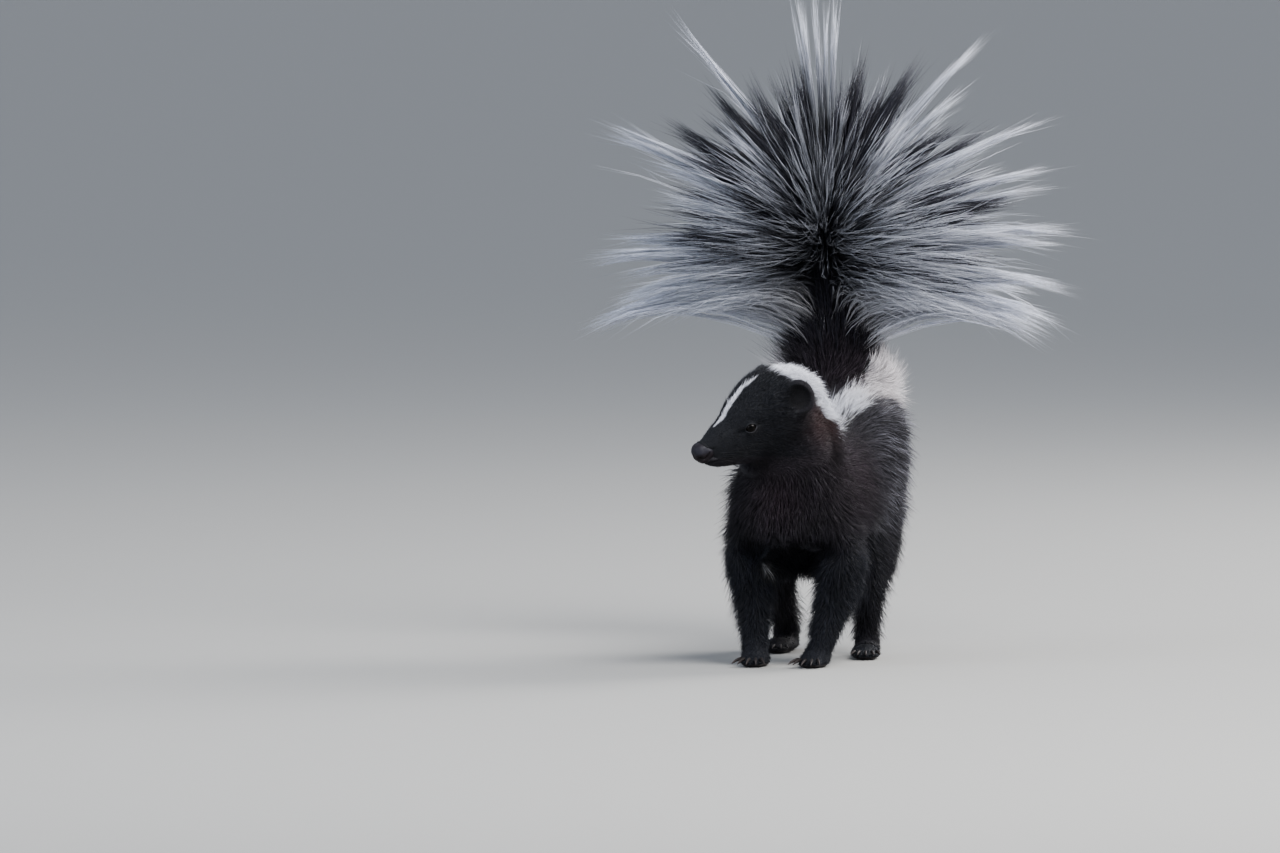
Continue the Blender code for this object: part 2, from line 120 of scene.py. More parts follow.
# The places of each tuft's rings along it, and how deep under the skin it is rooted
TUFT_STEPS = np.array((0, 0.5, 1))
TUFT_ROOT = 0.35
# The share of tufts that are long guard hairs
GUARD_SHARE = 0.3
# The coat ends here on the tail's stem, which the plume's own hair covers
COAT_TOP = 214
# Width of the patch of the skin's map that the tufts of one place share
PATCH = 0.003

# The bare tail inside its hair: X, Y, Z and radius
STEM = np.array(
    (
        (-2, 95, 162, 19),
        (-6, 97, 186, 14),
        (-8, 92, 212, 11),
        (-9, 87, 240, 9.5),
        (-10, 80, 270, 8),
        (-10, 73, 300, 6),
        (-10, 68, 318, 3),
    )
)
# The plume's middle, the slope of its face to the back, and how far it spreads from upright, in degrees
FAN_MIDDLE = (-9, 88, 231)
FAN_LEAN = 0.21
FAN_SPREAD = 106
STRAND_STEPS = np.linspace(0, 1, 6)
# Strands that lie together in a lock, and short ones over the stem
WISP = 4
COVER = 2000
# Long white locks: (angle from upright, reach, lean, strands, half width at the middle, and at the tip)
WHITE_LOCKS = (
    (-104.4, 156, 0, 420, 7, 6),
    (-101, 142, 6, 320, 8, 6),
    (-97, 124, -6, 240, 6, 5),
    (-88.8, 150, 0, 300, 4.5, 4.5),
    (-85, 140, 5, 220, 4.5, 4),
    (-91.5, 128, -5, 160, 4, 4),
    (-58, 161, 0, 260, 2.8, 4),
    (-54.5, 158, -4, 200, 2.4, 3.5),
    (-61, 130, 5, 150, 3.2, 3.5),
    (-65, 112, -8, 100, 3.2, 3.5),
    (-29.8, 176, 0, 150, 2, 4.5),
    (-33, 112, -6, 110, 3, 3),
    (-5.6, 170, 2, 50, 1.0, 2),
    (-4.2, 177, 0, 70, 1.2, 1.6),
    (-2.7, 172, -3, 60, 1.0, 2),
    (-1.2, 179, 3, 80, 1.2, 1.6),
    (0.3, 166, -2, 60, 1.0, 2),
    (1.7, 173, 0, 80, 1.2, 1.8),
    (3.1, 168, 4, 60, 1.0, 2),
    (4.6, 177, -2, 70, 1.2, 2.4),
    (-8, 120, -8, 90, 2.6, 2.6),
    (9, 112, -6, 90, 2.6, 2.6),
    (35, 176, 0, 170, 2.4, 3),
    (38, 150, -5, 110, 2.6, 3),
    (30, 118, -8, 90, 3, 3),
    (55, 163, 0, 170, 2.6, 3.5),
    (52, 140, -6, 120, 2.8, 3),
    (64.6, 155, -3, 190, 3, 4.5),
    (69.6, 146, 4, 150, 3, 4),
    (61, 124, 6, 100, 3, 3),
    (80.6, 154, 0, 240, 3.6, 4.5),
    (85, 142, 5, 180, 4, 4),
    (77, 128, -7, 120, 3.4, 3.5),
    (94.5, 148, 0, 260, 4.2, 5),
    (91, 130, -6, 130, 4, 4),
    (102, 145, -4, 320, 6, 6),
    (108.6, 137, 4, 320, 7, 7),
    (99, 124, 8, 180, 6, 6),
    (105, 126, -9, 200, 6, 6),
)
# Dark locks between them
DARK_LOCKS = (
    (-97, 108, 0, 150, 8, 7),
    (-80, 104, 0, 170, 7, 4),
    (-75, 90, -4, 170, 8, 5),
    (-70, 102, 4, 190, 7, 4),
    (-65, 106, 6, 200, 7, 5),
    (-50, 118, -4, 180, 7, 6),
    (-46.7, 130, 0, 240, 7, 5),
    (-38, 118, 5, 220, 8, 8),
    (-31, 134, -4, 220, 6, 4),
    (-22.2, 126, 0, 240, 8, 8),
    (-14, 122, 5, 220, 8, 7),
    (-7.3, 132, 0, 220, 7, 6),
    (8, 124, -4, 180, 7, 6),
    (12, 138, 0, 240, 7, 6),
    (19, 126, 4, 220, 7, 6),
    (25.5, 144, 0, 260, 7, 5),
    (31, 126, 5, 180, 7, 6),
    (42, 126, 0, 240, 8, 7),
    (50, 130, 5, 220, 7, 5),
    (60, 118, -3, 200, 7, 6),
    (69.5, 126, 0, 220, 6, 5),
    (76, 108, 4, 180, 8, 7),
    (89.7, 106, 0, 200, 8, 7),
    (98, 100, -4, 160, 7, 7),
)
# Layers before and behind the fan: (lean, its scatter, least reach, most reach, wisps, share of white)
FAN_LAYERS = (
    (-10, 6, 84, 124, 1250, 0.5),
    (-26, 7, 66, 104, 1200, 0.5),
    (-44, 8, 50, 78, 560, 0.5),
    (-62, 8, 34, 52, 160, 0.4),
    (14, 6, 96, 130, 700, 0.4),
    (34, 8, 86, 116, 600, 0.4),
    (58, 9, 70, 102, 420, 0.35),
)
# The plume's pieces, each up to an angle from upright
FAN_CUTS = {
    "white": (("right", -45), ("top", 45), ("left", 181)),
    "dark": (("right", -45), ("top_right", 0), ("top_left", 45), ("left", 181)),
}


def skull_turn():
    found = Matrix.Identity(3)
    for axis, degrees in HEAD_TURNS_DEG:
        found = found @ Matrix.Rotation(math.radians(degrees), 3, axis)
    return np.array(found)


SKULL = skull_turn()
EYE_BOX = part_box("eye_left")
SHIFT = np.array((EYE_BOX[0] + EYE_BOX[1]) / 2) / MM - (SKULL @ EYE_AT + HEAD_AT)


def placed(points):
    """Points of the drawing in the row frame, in metres."""
    return (np.asarray(points) + SHIFT) * MM


def drawn(points):
    """Points of the row frame in the drawing's millimetres."""
    return np.asarray(points) / MM - SHIFT


def on_head(local):
    return np.asarray(local) @ SKULL.T + HEAD_AT


def in_head(points):
    return (np.asarray(points) - HEAD_AT) @ SKULL


def mirrored(place, side):
    """A place or way of the skull's frame on its left, where side is 1, or on its right, where it is -1."""
    return np.array((side * place[0], *place[1:]))


def unit(vectors):
    size = np.linalg.norm(vectors, axis=-1, keepdims=True)
    return vectors / np.maximum(size, 1e-9)


def ramp(values, low, high):
    """0 up to low and 1 from high on, with a smooth rise between."""
    share = np.clip((values - low) / (high - low), 0, 1)
    return share * share * (3 - 2 * share)


def circle(count):
    """Even turns round a circle, in radians."""
    return np.linspace(0, 2 * math.pi, count, endpoint=False)


def fall(values, low, high):
    """1 up to low and 0 from high on."""
    return 1 - ramp(values, low, high)


def bell(values, at, width):
    """1 at one value and about 0 beyond twice the width."""
    return np.exp(-(((values - at) / width) ** 2))


def blob(points, centre, size):
    """1 at the centre and about 0 beyond twice the size."""
    return np.exp(-(((points - centre) / size) ** 2).sum(1))


def blend(first, second, share):
    """The first colour where share is 0, the second where it is 1."""
    share = share[:, None]
    return first * (1 - share) + np.asarray(second) * share


def bent(first, middle, last, t):
    """Points at the shares t of the way along the curves from first to last, which middle pulls."""
    t = t[..., None]
    return (1 - t) ** 2 * first + 2 * t * (1 - t) * middle + t**2 * last


def ripple(points, size, seed, channels=1):
    """Smooth seeded noise, about -1 to 1, with bumps size mm across."""
    rng = np.random.default_rng(seed)
    found = np.zeros((len(points), channels))
    waves = 7
    for _ in range(waves):
        way = unit(rng.normal(size=(channels, 3))).T * (math.pi / size) * rng.uniform(0.6, 1.4)
        found += np.sin(points @ way + rng.uniform(0, 2 * math.pi, channels))
    return found / math.sqrt(waves)


class Wire:
    """A shader node's output. Python's operators on it add Math nodes."""

    def __init__(self, shader, socket):
        self.shader, self.socket = shader, socket

    def math(self, operation, *values):
        return self.shader.node("ShaderNodeMath", {"operation": operation}, dict(enumerate(values)))

    def __add__(self, other):
        return self.math("ADD", self, other)

    def __sub__(self, other):
        return self.math("SUBTRACT", self, other)

    def __rsub__(self, other):
        return self.math("SUBTRACT", other, self)

    def __mul__(self, other):
        return self.math("MULTIPLY", self, other)

    __radd__ = __add__
    __rmul__ = __mul__


class Shader:
    """A material and the nodes that colour it."""

    def __init__(self, name, **uniform):
        self.material = bpy.data.materials.new(name)
        self.material.use_nodes = True
        self.tree = self.material.node_tree
        self.surface = self.tree.nodes["Principled BSDF"]
        for socket, value in uniform.items():
            self.surface.inputs[socket.replace("_", " ")].default_value = value

    def node(self, kind, settings=None, inputs=None, output=0):
        """Adds a node: its settings first, then the values or links of its sockets."""
        made = self.tree.nodes.new(kind)
        for name, value in (settings or {}).items():
            if name == "stops":
                elements = made.color_ramp.elements
                while len(elements) < len(value):
                    elements.new(0.5)
                for stop, (at, colour) in zip(elements, value):
                    stop.position, stop.color = at, (*colour, 1)
            else:
                setattr(made, name, value)
        for socket, value in (inputs or {}).items():
            if isinstance(value, Wire):
                self.tree.links.new(value.socket, made.inputs[socket])
            else:
                made.inputs[socket].default_value = value
        return Wire(self, made.outputs[output])

    def mix(self, share, first, second, blend_type="MIX"):
        """A colour between two, each a wire or three numbers."""
        first, second = (c if isinstance(c, Wire) else (*c, 1) for c in (first, second))
        settings = {"data_type": "RGBA", "blend_type": blend_type}
        return self.node("ShaderNodeMix", settings, {0: share, 6: first, 7: second}, output=2)

    def tinted(self, colour, tint):
        return self.mix(1.0, colour, tint, "MULTIPLY")

    def stretched(self, vector, scale):
        return self.node("ShaderNodeVectorMath", {"operation": "MULTIPLY"}, {0: vector, 1: scale})

    def noise(self, vector, scale, detail=2.0, roughness=0.5):
        inputs = {"Vector": vector, "Scale": scale, "Detail": detail, "Roughness": roughness}
        return self.node("ShaderNodeTexNoise", None, inputs)

    def attribute(self, name, output="Fac"):
        return self.node("ShaderNodeAttribute", {"attribute_name": name}, output=output)

    def places(self):
        return self.node("ShaderNodeTexCoord", output="Object")

    def bump(self, height, distance, strength=0.5):
        inputs = {"Height": height, "Distance": distance, "Strength": strength}
        return self.node("ShaderNodeBump", None, inputs)

    def drive(self, **links):
        """Links what changes over the surface to the shader's sockets."""
        for socket, wire in links.items():
            self.tree.links.new(wire.socket, self.surface.inputs[socket.replace("_", " ")])
        return self.material


def scaled(colour, factor):
    return tuple(min(1, channel * factor) for channel in colour)


def coat_material(name, roughness):
    """Hair with fine streaks along each strand."""
    shader = Shader(name, Specular_IOR_Level=0.4)
    grain = shader.stretched(shader.attribute("grain", "Vector"), (2.4, 1.2, 1))
    streaks = shader.noise(grain, 1.0, 3)
    colour = shader.attribute("coat", "Color")
    dark, light = shader.tinted(colour, (0.6, 0.6, 0.63)), shader.tinted(colour, (1.16, 1.16, 1.18))
    rough = streaks * 0.3 + (roughness - 0.15)
    return shader.drive(Base_Color=shader.mix(streaks, dark, light), Roughness=rough)


def skin_material():
    """Skin under the coat: short fur as bump, and bare places smooth."""
    shader = Shader("Skin and short fur", Specular_IOR_Level=0.35)
    fine = shader.noise(shader.places(), 900.0, 4, 0.6)
    colour = shader.attribute("coat", "Color")
    shaded = shader.mix(fine, shader.tinted(colour, (0.6, 0.6, 0.62)), colour)
    bare = shader.attribute("bare")
    normal = shader.bump(fine * (1 - bare * 0.7), 0.0006, 0.6)
    return shader.drive(Base_Color=shaded, Roughness=0.75 - bare * 0.3, Normal=normal)


def store(mesh, name, values, kind="FLOAT"):
    """Writes a number, or a vector or colour of three, for each point of the mesh."""
    if kind == "FLOAT_COLOR":
        values = np.concatenate([values, np.ones((len(values), 1))], axis=1)
    key = {"FLOAT_VECTOR": "vector", "FLOAT_COLOR": "color"}.get(kind, "value")
    flat = np.ascontiguousarray(values, np.int32 if kind == "INT" else np.float32).ravel()
    mesh.attributes.new(name, kind, "POINT").data.foreach_set(key, flat)


def read(items, key, width=1, kind=np.float32):
    """A number, or width of them, from each of a mesh's items."""
    found = np.empty(len(items) * width, kind)
    items.foreach_get(key, found)
    return found.reshape(-1, width) if width > 1 else found


def mesh_points(mesh):
    return read(mesh.vertices, "co", 3).astype(float)


def mesh_triangles(mesh):
    mesh.calc_loop_triangles()
    return read(mesh.loop_triangles, "vertices", 3, np.int32)


def add_object(name, data):
    obj = bpy.data.objects.new(name, data)
    bpy.context.scene.collection.objects.link(obj)
    return obj


def aim(obj, at, target):
    """Places a lamp or the camera and turns it to its target, both in the row frame."""
    obj.location = at
    obj.rotation_euler = (Vector(target) - Vector(at)).to_track_quat("-Z", "Y").to_euler()


def new_piece(name, points, faces, material, uv=None):
    """A smooth object that rides on the body. faces is a list of arrays, one for each count of corners."""
    mesh = bpy.data.meshes.new(name)
    mesh.vertices.add(len(points))
    mesh.vertices.foreach_set("co", placed(points).astype(np.float32).ravel())
    corners = np.concatenate([part.ravel() for part in faces]).astype(np.int32)
    counts = np.concatenate([np.full(len(part), part.shape[1]) for part in faces])
    starts = np.concatenate([[0], np.cumsum(counts)[:-1]]).astype(np.int32)
    mesh.loops.add(len(corners))
    mesh.loops.foreach_set("vertex_index", corners)
    mesh.polygons.add(len(starts))
    mesh.polygons.foreach_set("loop_start", starts)
    mesh.update(calc_edges=True)
    mesh.shade_smooth()
    if uv is not None:
        layer = mesh.uv_layers.new(name="OFBake")
        layer.uv.foreach_set("vector", uv[corners].astype(np.float32).ravel())
    obj = add_object(name, mesh)
    mesh.materials.append(material)
    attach(obj, "root")
    return obj


def ring_quads(rings, sides):
    """The faces between rings of points, one ring after the other."""
    ring, k = np.mgrid[: rings - 1, :sides].reshape(2, -1)
    low, after = ring * sides + k, ring * sides + (k + 1) % sides
    return np.stack([low, after, after + sides, low + sides], axis=1)


def point_normals(points, triangles):
    a, b, c = (points[triangles[:, i]] for i in range(3))
    cross = np.cross(b - a, c - a)
    found = np.zeros_like(points)
    for i in range(3):
        for axis in range(3):
            found[:, axis] += np.bincount(triangles[:, i], cross[:, axis], len(points))
    return unit(found)


class Web:
    """The edges of a mesh, for smoothing what its points carry."""

    def __init__(self, triangles, count):
        pairs = np.concatenate([triangles[:, [0, 1]], triangles[:, [1, 2]], triangles[:, [2, 0]]])
        self.pairs = np.unique(np.sort(pairs, axis=1), axis=0)
        self.degree = np.maximum(np.bincount(self.pairs.ravel(), minlength=count), 1)

    def smooth(self, values, rounds):
        """values after some rounds of moving each halfway to the mean of its neighbours."""
        values = np.array(values, float)
        count = len(values)
        low, high = self.pairs.T
        for _ in range(rounds):
            for column in values.T:
                total = np.bincount(low, column[high], count)
                total += np.bincount(high, column[low], count)
                column += (total / self.degree - column) * 0.5
        return values


def add_stem(body, sides=22):
    """Adds the tail's stem to body as a closed round tube, in the row frame."""
    verts = []
    for i, (*at, radius) in enumerate(STEM):
        along = unit(STEM[min(i + 1, len(STEM) - 1), :3] - STEM[max(i - 1, 0), :3])
        wide = unit(np.cross(along, (0, 1, 0.2)))
        deep = np.cross(along, wide)
        turns = circle(sides)
        ring = at + radius * (np.outer(np.cos(turns), wide) + np.outer(np.sin(turns), deep))
        verts += [body.verts.new(p) for p in placed(ring)]
    for corners in ring_quads(len(STEM), sides):
        body.faces.new([verts[i] for i in corners])
    body.faces.new(verts[sides - 1 :: -1])
    body.faces.new(verts[-sides:])


def melted_flesh(voxel):
    """The nodes of flesh and the tail's stem melted into one closed mesh."""
    body = bmesh.new()
    for name in COAT:
        body.from_mesh(frame["nodes"][name].data)
    bmesh.ops.remove_doubles(body, verts=body.verts, dist=1e-5)
    body.normal_update()
    # The thin cuts between the nodes close when each grows a little
    growth = 0.35 * MM
    for vert in body.verts:
        vert.co += vert.normal * growth
    add_stem(body)
    # The sockets and the nose's seat are filled, so that lids and lips can be modelled over them
    sockets = [(mirrored(EYE_AT, side), EYE_RADIUS + 0.5) for side in (-1, 1)]
    for at, radius in (*sockets, (NOSE_AT, NOSE_SEAT)):
        spot = Matrix.Translation(placed(on_head(at)))
        bmesh.ops.create_icosphere(body, subdivisions=3, radius=radius * MM, matrix=spot)
    bmesh.ops.recalc_face_normals(body, faces=body.faces)
    mesh = bpy.data.meshes.new("Flesh")
    body.to_mesh(mesh)
    body.free()
    obj = add_object("Flesh", mesh)
    remesh = obj.modifiers.new("Melt", "REMESH")
    remesh.mode = "VOXEL"
    remesh.voxel_size = voxel * MM
    obj.modifiers.new("Smooth", "SMOOTH").iterations = 4
    settled = bpy.data.meshes.new_from_object(obj.evaluated_get(bpy.context.evaluated_depsgraph_get()))
    bpy.data.objects.remove(obj)
    return settled


def refined(mesh):
    """The mesh with finer faces round the eyes, the nose and the mouth, as (points, triangles)."""
    body = bmesh.new()
    body.from_mesh(mesh)
    eyes = [(mirrored(EYE_AT, side), 9, 3) for side in (-1, 1)]
    for at, radius, rounds in (*eyes, ((0, -49, -8), 15, 2)):
        centre = Vector(placed(on_head(at)))
        for k in range(rounds):
            reach = (radius - 2 * k) * MM
            edges = [e for e in body.edges if all((v.co - centre).length < reach for v in e.verts)]
            bmesh.ops.subdivide_edges(body, edges=edges, cuts=1, use_grid_fill=True)
    bmesh.ops.triangulate(body, faces=body.faces)
    body.to_mesh(mesh)
    body.free()
    return drawn(mesh_points(mesh)), mesh_triangles(mesh)


def nearest_nodes(points):
    """The index in COAT of the furred node nearest to each point."""
    corners, faces, owners = [], [], []
    for number, name in enumerate(COAT):
        mesh = frame["nodes"][name].data
        faces += (mesh_triangles(mesh) + len(corners)).tolist()
        corners += [v.co.copy() for v in mesh.vertices]
        owners += [number] * len(mesh.loop_triangles)
    tree = BVHTree.FromPolygons(corners, faces)
    return np.array([owners[tree.find_nearest(p)[2]] for p in placed(points).tolist()])


def lie_of_coat(points, normals, nodes, web):
    """The way that the hair lies at each point, along the surface."""
    kinds, head = KINDS[nodes], in_head(points)
    x, y, z = points.T
    ways = np.array([FUR[kind][1] for kind in KINDS], float)[nodes]
    ways[:, 0] *= np.where(kinds == "ear", np.sign(head[:, 0]), 1)
    skull = np.isin(kinds, ("head", "ear"))
    ways[skull] = ways[skull] @ SKULL.T
    ways = unit(ways)
    trunk, tail = kinds == "trunk", kinds == "tail_root"
    for share, way in (
        # Hair at the chest's front and the breast falls straight down, and so does the flank's lower half
        (ramp(-y, 62, 84) * trunk * 2.2, (0, -0.15, -1)),
        (ramp(np.abs(x), 22, 40) * trunk * 0.55, (0, 0, -1)),
        (ramp(-normals[:, 2], 0.4, 0.8) * trunk, (0, 1, 0)),
        (tail * ramp(z, 165, 195), (0, 0, 0.6)),
    ):
        ways += np.outer(share, way)
    # The hair at the tail root's sides spreads outwards, and that of the face fans away from the nose
    ways[:, 0] += np.clip((x + 5) / 30, -1, 1) * tail * ramp(z, 150, 190) * 0.9
    cheeks = ramp(-head[:, 1], 10, 40) * (kinds == "head")
    ways += cheeks[:, None] * (np.sign(head[:, :1]) * SKULL[:, 0] * 0.25)
    ways = web.smooth(ways, 30)
    ways += ripple(points, 26, 5, 3) * 0.16
    ways -= normals * np.sum(ways * normals, axis=1, keepdims=True)
    return unit(ways)


def about_eye(local, side):
    """Points of the skull's frame against an eye: the way to each from its middle, its length, its share
    straight ahead, its height over the eye, and how far it ends outside the opening between the lids."""
    out = unit(mirrored(EYE_FACES, side))
    forward = np.array((0, -1, -0.08))
    along = unit(forward - out * np.dot(forward, out))
    up = np.cross(along, out) * side
    rel = local - mirrored(EYE_AT, side)
    size = np.linalg.norm(rel, axis=1)
    x, y = (EYE_RADIUS * np.arctan2(rel @ way, rel @ out) for way in (along, up))
    share = np.clip(1 - (x / 4.2) ** 2, 0, 1) ** 0.6
    top, bottom = 2.4 * share, -2.35 * share
    beyond = np.maximum(np.abs(x) - 4.05, 0)
    outside = np.hypot(np.maximum(np.maximum(y - top, bottom - y), 0), beyond)
    outside -= np.minimum(top - y, y - bottom).clip(0) * (beyond == 0)
    return rel, size, rel @ out / np.maximum(size, 1e-6), y, outside


def about_nose(local):
    """How far points of the skull's frame are from the nose's middle, and the way to each."""
    rel = local - NOSE_AT
    size = np.linalg.norm(rel, axis=1)
    return size, rel / np.maximum(size, 1e-6)[:, None]


def nose_reach(ways):
    """How far the nose's leather reaches from its middle in each way of the skull's frame."""
    x, y, z = np.abs(ways[:, 0]), -ways[:, 1], ways[:, 2]
    deep, high = np.where(y > 0, 5.5, 6.6), np.where(z > 0, 6.3, 6.6)
    reach = ((x / 6.1) ** 2.5 + (np.abs(y) / deep) ** 2.5 + (np.abs(z) / high) ** 2.5) ** -0.4
    wing = bell(z, -0.02, 0.42) * ramp(-y, -0.15, 0.5) * ramp(x, 0.35, 0.75)
    return reach * (1 + 0.25 * wing) * (1 - 0.1 * ramp(-z, 0.35, 0.8) * ramp(y, 0.2, 0.7))


def leather(ways):
    """1 where the nose's leather shows: its front, and the wings beside the nostrils."""
    x, y, z = np.abs(ways[:, 0]), -ways[:, 1], ways[:, 2]
    edge = np.interp(z, (-0.7, -0.42, 0.2, 0.45, 0.9), (0.0, -0.55, -0.6, -0.3, 0.0))
    return ramp(y - edge * ramp(x, 0.2, 0.55), -0.06, 0.12)


def ear_hollow(points):
    """1 in the cups of the ears."""
    head = in_head(points)
    found = np.zeros(len(points))
    for side in (1, -1):
        out, rel = mirrored(EAR_FACES, side), head - mirrored(EAR_AT, side)
        ahead = rel @ out
        across = np.linalg.norm(rel - np.outer(ahead, out), axis=1)
        found = np.maximum(found, fall(across, 6, 8.5) * (ahead > -1) * (ahead < 4.5))
    return found


def sculpt_face(points):
    """Lids, the muzzle round the nose, the mouth's line and the ears' hollows."""
    local = in_head(points)
    for side in (1, -1):
        rel, size, ahead, y, outside = about_eye(local, side)
        near = (size < 11) & (ahead > 0.15)
        upper = ramp(y, -1, 1.5)
        ridge = EYE_RADIUS + 0.42 + 0.3 * upper
        fold = 0.38 * bell(outside, 2.1, 0.5) * upper
        edge = ramp(outside, -0.25, 0.2)
        lid = (EYE_RADIUS - 0.7) * (1 - edge) + (ridge - fold) * edge
        cheek = ramp(outside, 1.0, 5.0)
        goal = np.where(near, lid * (1 - cheek) + size * cheek, size)
        moved = mirrored(EYE_AT, side) + rel * (goal / np.maximum(size, 1e-6))[:, None]
        local = np.where(near[:, None], moved, local)
    # The bridge runs straight on to the nose's top, and the leather comes out of the muzzle's end
    forward, on_muzzle = -local[:, 1], (local[:, 2] > -30) & (np.abs(local[:, 0]) < 14)
    rise = np.interp(forward, (33, 38, 42, 46, 50, 54), (0, 0.7, 1.6, 2.6, 3.0, 2.6))
    local[:, 2] += rise * ramp(local[:, 2], -13, -1) * on_muzzle
    size, ways = about_nose(local)
    far, shows = size / nose_reach(ways), leather(ways)
    goal = np.where(far < 1.5, np.minimum(far, 0.88) * shows + np.maximum(far, 1.05) * (1 - shows), far)
    moved = NOSE_AT + (local - NOSE_AT) * (goal / np.maximum(far, 1e-6))[:, None]
    local = np.where(on_muzzle[:, None], moved, local)
    # The ears' cups
    for side in (1, -1):
        hollow = ear_hollow(on_head(local)) * (local[:, 0] * side > 0)
        local = local - np.outer(hollow * 1.6, mirrored(EAR_FACES, side))
    # Mouth: a thin line from under the nose back along the muzzle, with the corners turned down
    x, forward, up = local[:, 0], -local[:, 1], local[:, 2]
    over = up - np.interp(forward, (30, 38, 47, 53), (-16.6, -14.9, -13.0, -13.6))
    groove = bell(over, 0, 0.55) * ramp(forward, 31, 35) * (np.abs(x) > 0.2)
    lip = bell(over, 1.3, 1.0) * ramp(forward, 31, 40)
    out = unit(np.stack([np.sign(x), np.zeros(len(x)), np.full(len(x), -0.3)], axis=1))
    return on_head(local - out * (0.75 * groove - 0.25 * lip)[:, None])


def white_share(points):
    """How white the coat is at each point, 0 to 1, from the animal's own landmarks, with a painted highlight
    on the breast.
    """
    head = in_head(points)
    side, forward, up = head[:, 0], -head[:, 1], head[:, 2]
    x, y, z = points.T
    rough = ripple(points, 5, 11)[:, 0]
    # The blaze from the nose to the brow
    middle = np.interp(forward, (7, 13, 18, 30, 42), (3.6, 2.4, 0.6, 0.1, 0.5))
    half = np.interp(forward, (6, 9, 13, 19, 27, 36, 41, 43), (-1.2, 0.4, 1.4, 2.5, 2.5, 1.7, 0.8, -1))
    blaze = ramp(half - np.abs(side - middle) + 0.45 * rough, -0.5, 0.5) * ramp(up, -8, -2)
    # The nape's cap, from the crown to the shoulders
    front = -2.4 - np.where(side > 0, 0.0175, 0.05) * side**2
    cap = ramp(front - forward + 0.5 * rough, -0.4, 0.6) * ramp(21.5 - np.abs(side) + rough, -0.6, 0.8)
    cap *= ramp(up - np.interp(forward, (-32, -20, -8), (-30, -4, 8)), -1, 1) * (z > 150)
    # The neck: the side turned to the back
    centre_y = np.interp(z, (100, 120, 138, 153, 160), (-46, -60, -69, -75, -80))
    back = (y - centre_y) * 0.87 + (z - np.clip(z, 100, 165)) * 0.49
    edge = np.interp(z, (132, 146, 156, 166), (12, 9, 4, 0))
    neck = ramp(back - edge + 0.8 * rough, -1, 1) * ramp(z, 134, 138) * (y < -30) * ramp(-forward, 14, 19)
    # Two stripes along the back, which part at the shoulders
    right_front = (x < -3) * ramp(z, 150, 160) * fall(y, 86, 98)
    low = np.interp(y, (-60, -21, -1, 12, 44, 75, 90, 102), (134, 137, 141, 144, 150.5, 152, 149, 142))
    inner = np.interp(y, (-10, 0, 27, 50, 65, 75, 85, 92), (0, 3, 8, 9.5, 11, 14, 18, 21))
    inner = inner + 11 * ramp(y, 66, 80) * right_front
    stripe = ramp(z - low + rough, -1.2, 1.2) * ramp(np.abs(x + 1) - inner + rough, -1.5, 1.5)
    stripe *= (y > -46) * (z < 172)
    # The tail's sides
    tail_x = np.interp(z, (150, 200), (-3, -9))
    half = np.interp(z, (150, 170, 190, 205), (21.5, 24, 24.5, 21))
    half = half + np.interp(z, (168, 182), (8.5, 3)) * right_front
    tail = ramp(np.abs(x - tail_x) - half + rough, -2, 2) * ramp(z, 150, 160) * (y > 66)
    # A painted highlight low on the breast, and a pale wisp before the ear
    away = np.linalg.norm((points - (-14, -68, 57)) / (1.2, 4, 2.4), axis=1)
    breast_highlight = 0.65 * fall(away, 1.8, 3.6)
    away = np.linalg.norm((head - (25, 0.8, 0.4)) / (1, 0.5, 1.5), axis=1)
    wisp = 0.4 * fall(away, 0.9, 1.9)
    return np.clip(np.maximum.reduce([blaze, cap, neck, stripe, tail, breast_highlight, wisp]), 0, 1)


def coat_colour(points, settings):
    """The coat's colour at each point, and how white it is."""
    white = white_share(points)
    _, y, z = points.T
    skull = ramp(-in_head(points)[:, 1], -14, 2) * (z > 128)
    black, pale = np.array(settings.black), np.array(settings.white)
    for share, tint in (
        # Painted blue sheen over the black on the face and the legs
        (np.clip(fall(z, 62, 95) + skull, 0, 1) * fall(y, 0, 40), settings.blue),
        (blob(points, (34, -50, 118), (24, 40, 30)), settings.purple),
        (blob(points, (-2, -90, 104), (16, 16, 18)), settings.purple),
        (0.75 * blob(points, (6, 72, 166), (26, 22, 18)), settings.purple),
        (blob(points, (19, -82, 149), (14, 15, 15)), settings.rust),
    ):
        black = blend(black, tint, share)
    # Painted shade: the black in the ears' cups is darkened, and the face's black is a little darker too
    hollow = ear_hollow(points)
    black = black * (1 - 0.6 * hollow - 0.38 * skull * (1 - hollow))[:, None]
    # The white turns cream on the rump
    pale = blend(pale, pale * (1.05, 0.985, 0.93), ramp(y, 20, 80) * fall(z, 172, 200))
    return blend(black, pale, white), white


def fur_strands(paths, radii, flatness, ups):
    """Three-sided tapering strands along paths (n, k, 3). It returns points, faces and each point's ring."""
    count, rings = paths.shape[:2]
    along = unit(np.gradient(paths, axis=1))
    wide = unit(np.cross(along, ups[:, None]))
    deep = np.cross(wide, along)
    turns = np.radians((90, 210, 330))[:, None]
    offsets = wide[:, :-1, None] * np.cos(turns) + deep[:, :-1, None] * np.sin(turns) * flatness
    body = paths[:, :-1, None] + offsets * radii[:, :-1, None, None]
    sides, last = len(turns), rings - 1
    points = np.concatenate([body.reshape(count, -1, 3), paths[:, -1:]], axis=1)
    ring = np.append(np.repeat(np.arange(last), sides), last)
    end = last * sides
    tips = [(end - sides + k, end - sides + (k + 1) % sides, end) for k in range(sides)]
    base = (np.arange(count) * (end + 1))[:, None, None]
    faces = [(base + part).reshape(-1, len(part[0])) for part in (ring_quads(last, sides), np.array(tips))]
    return points.reshape(-1, 3), faces, ring


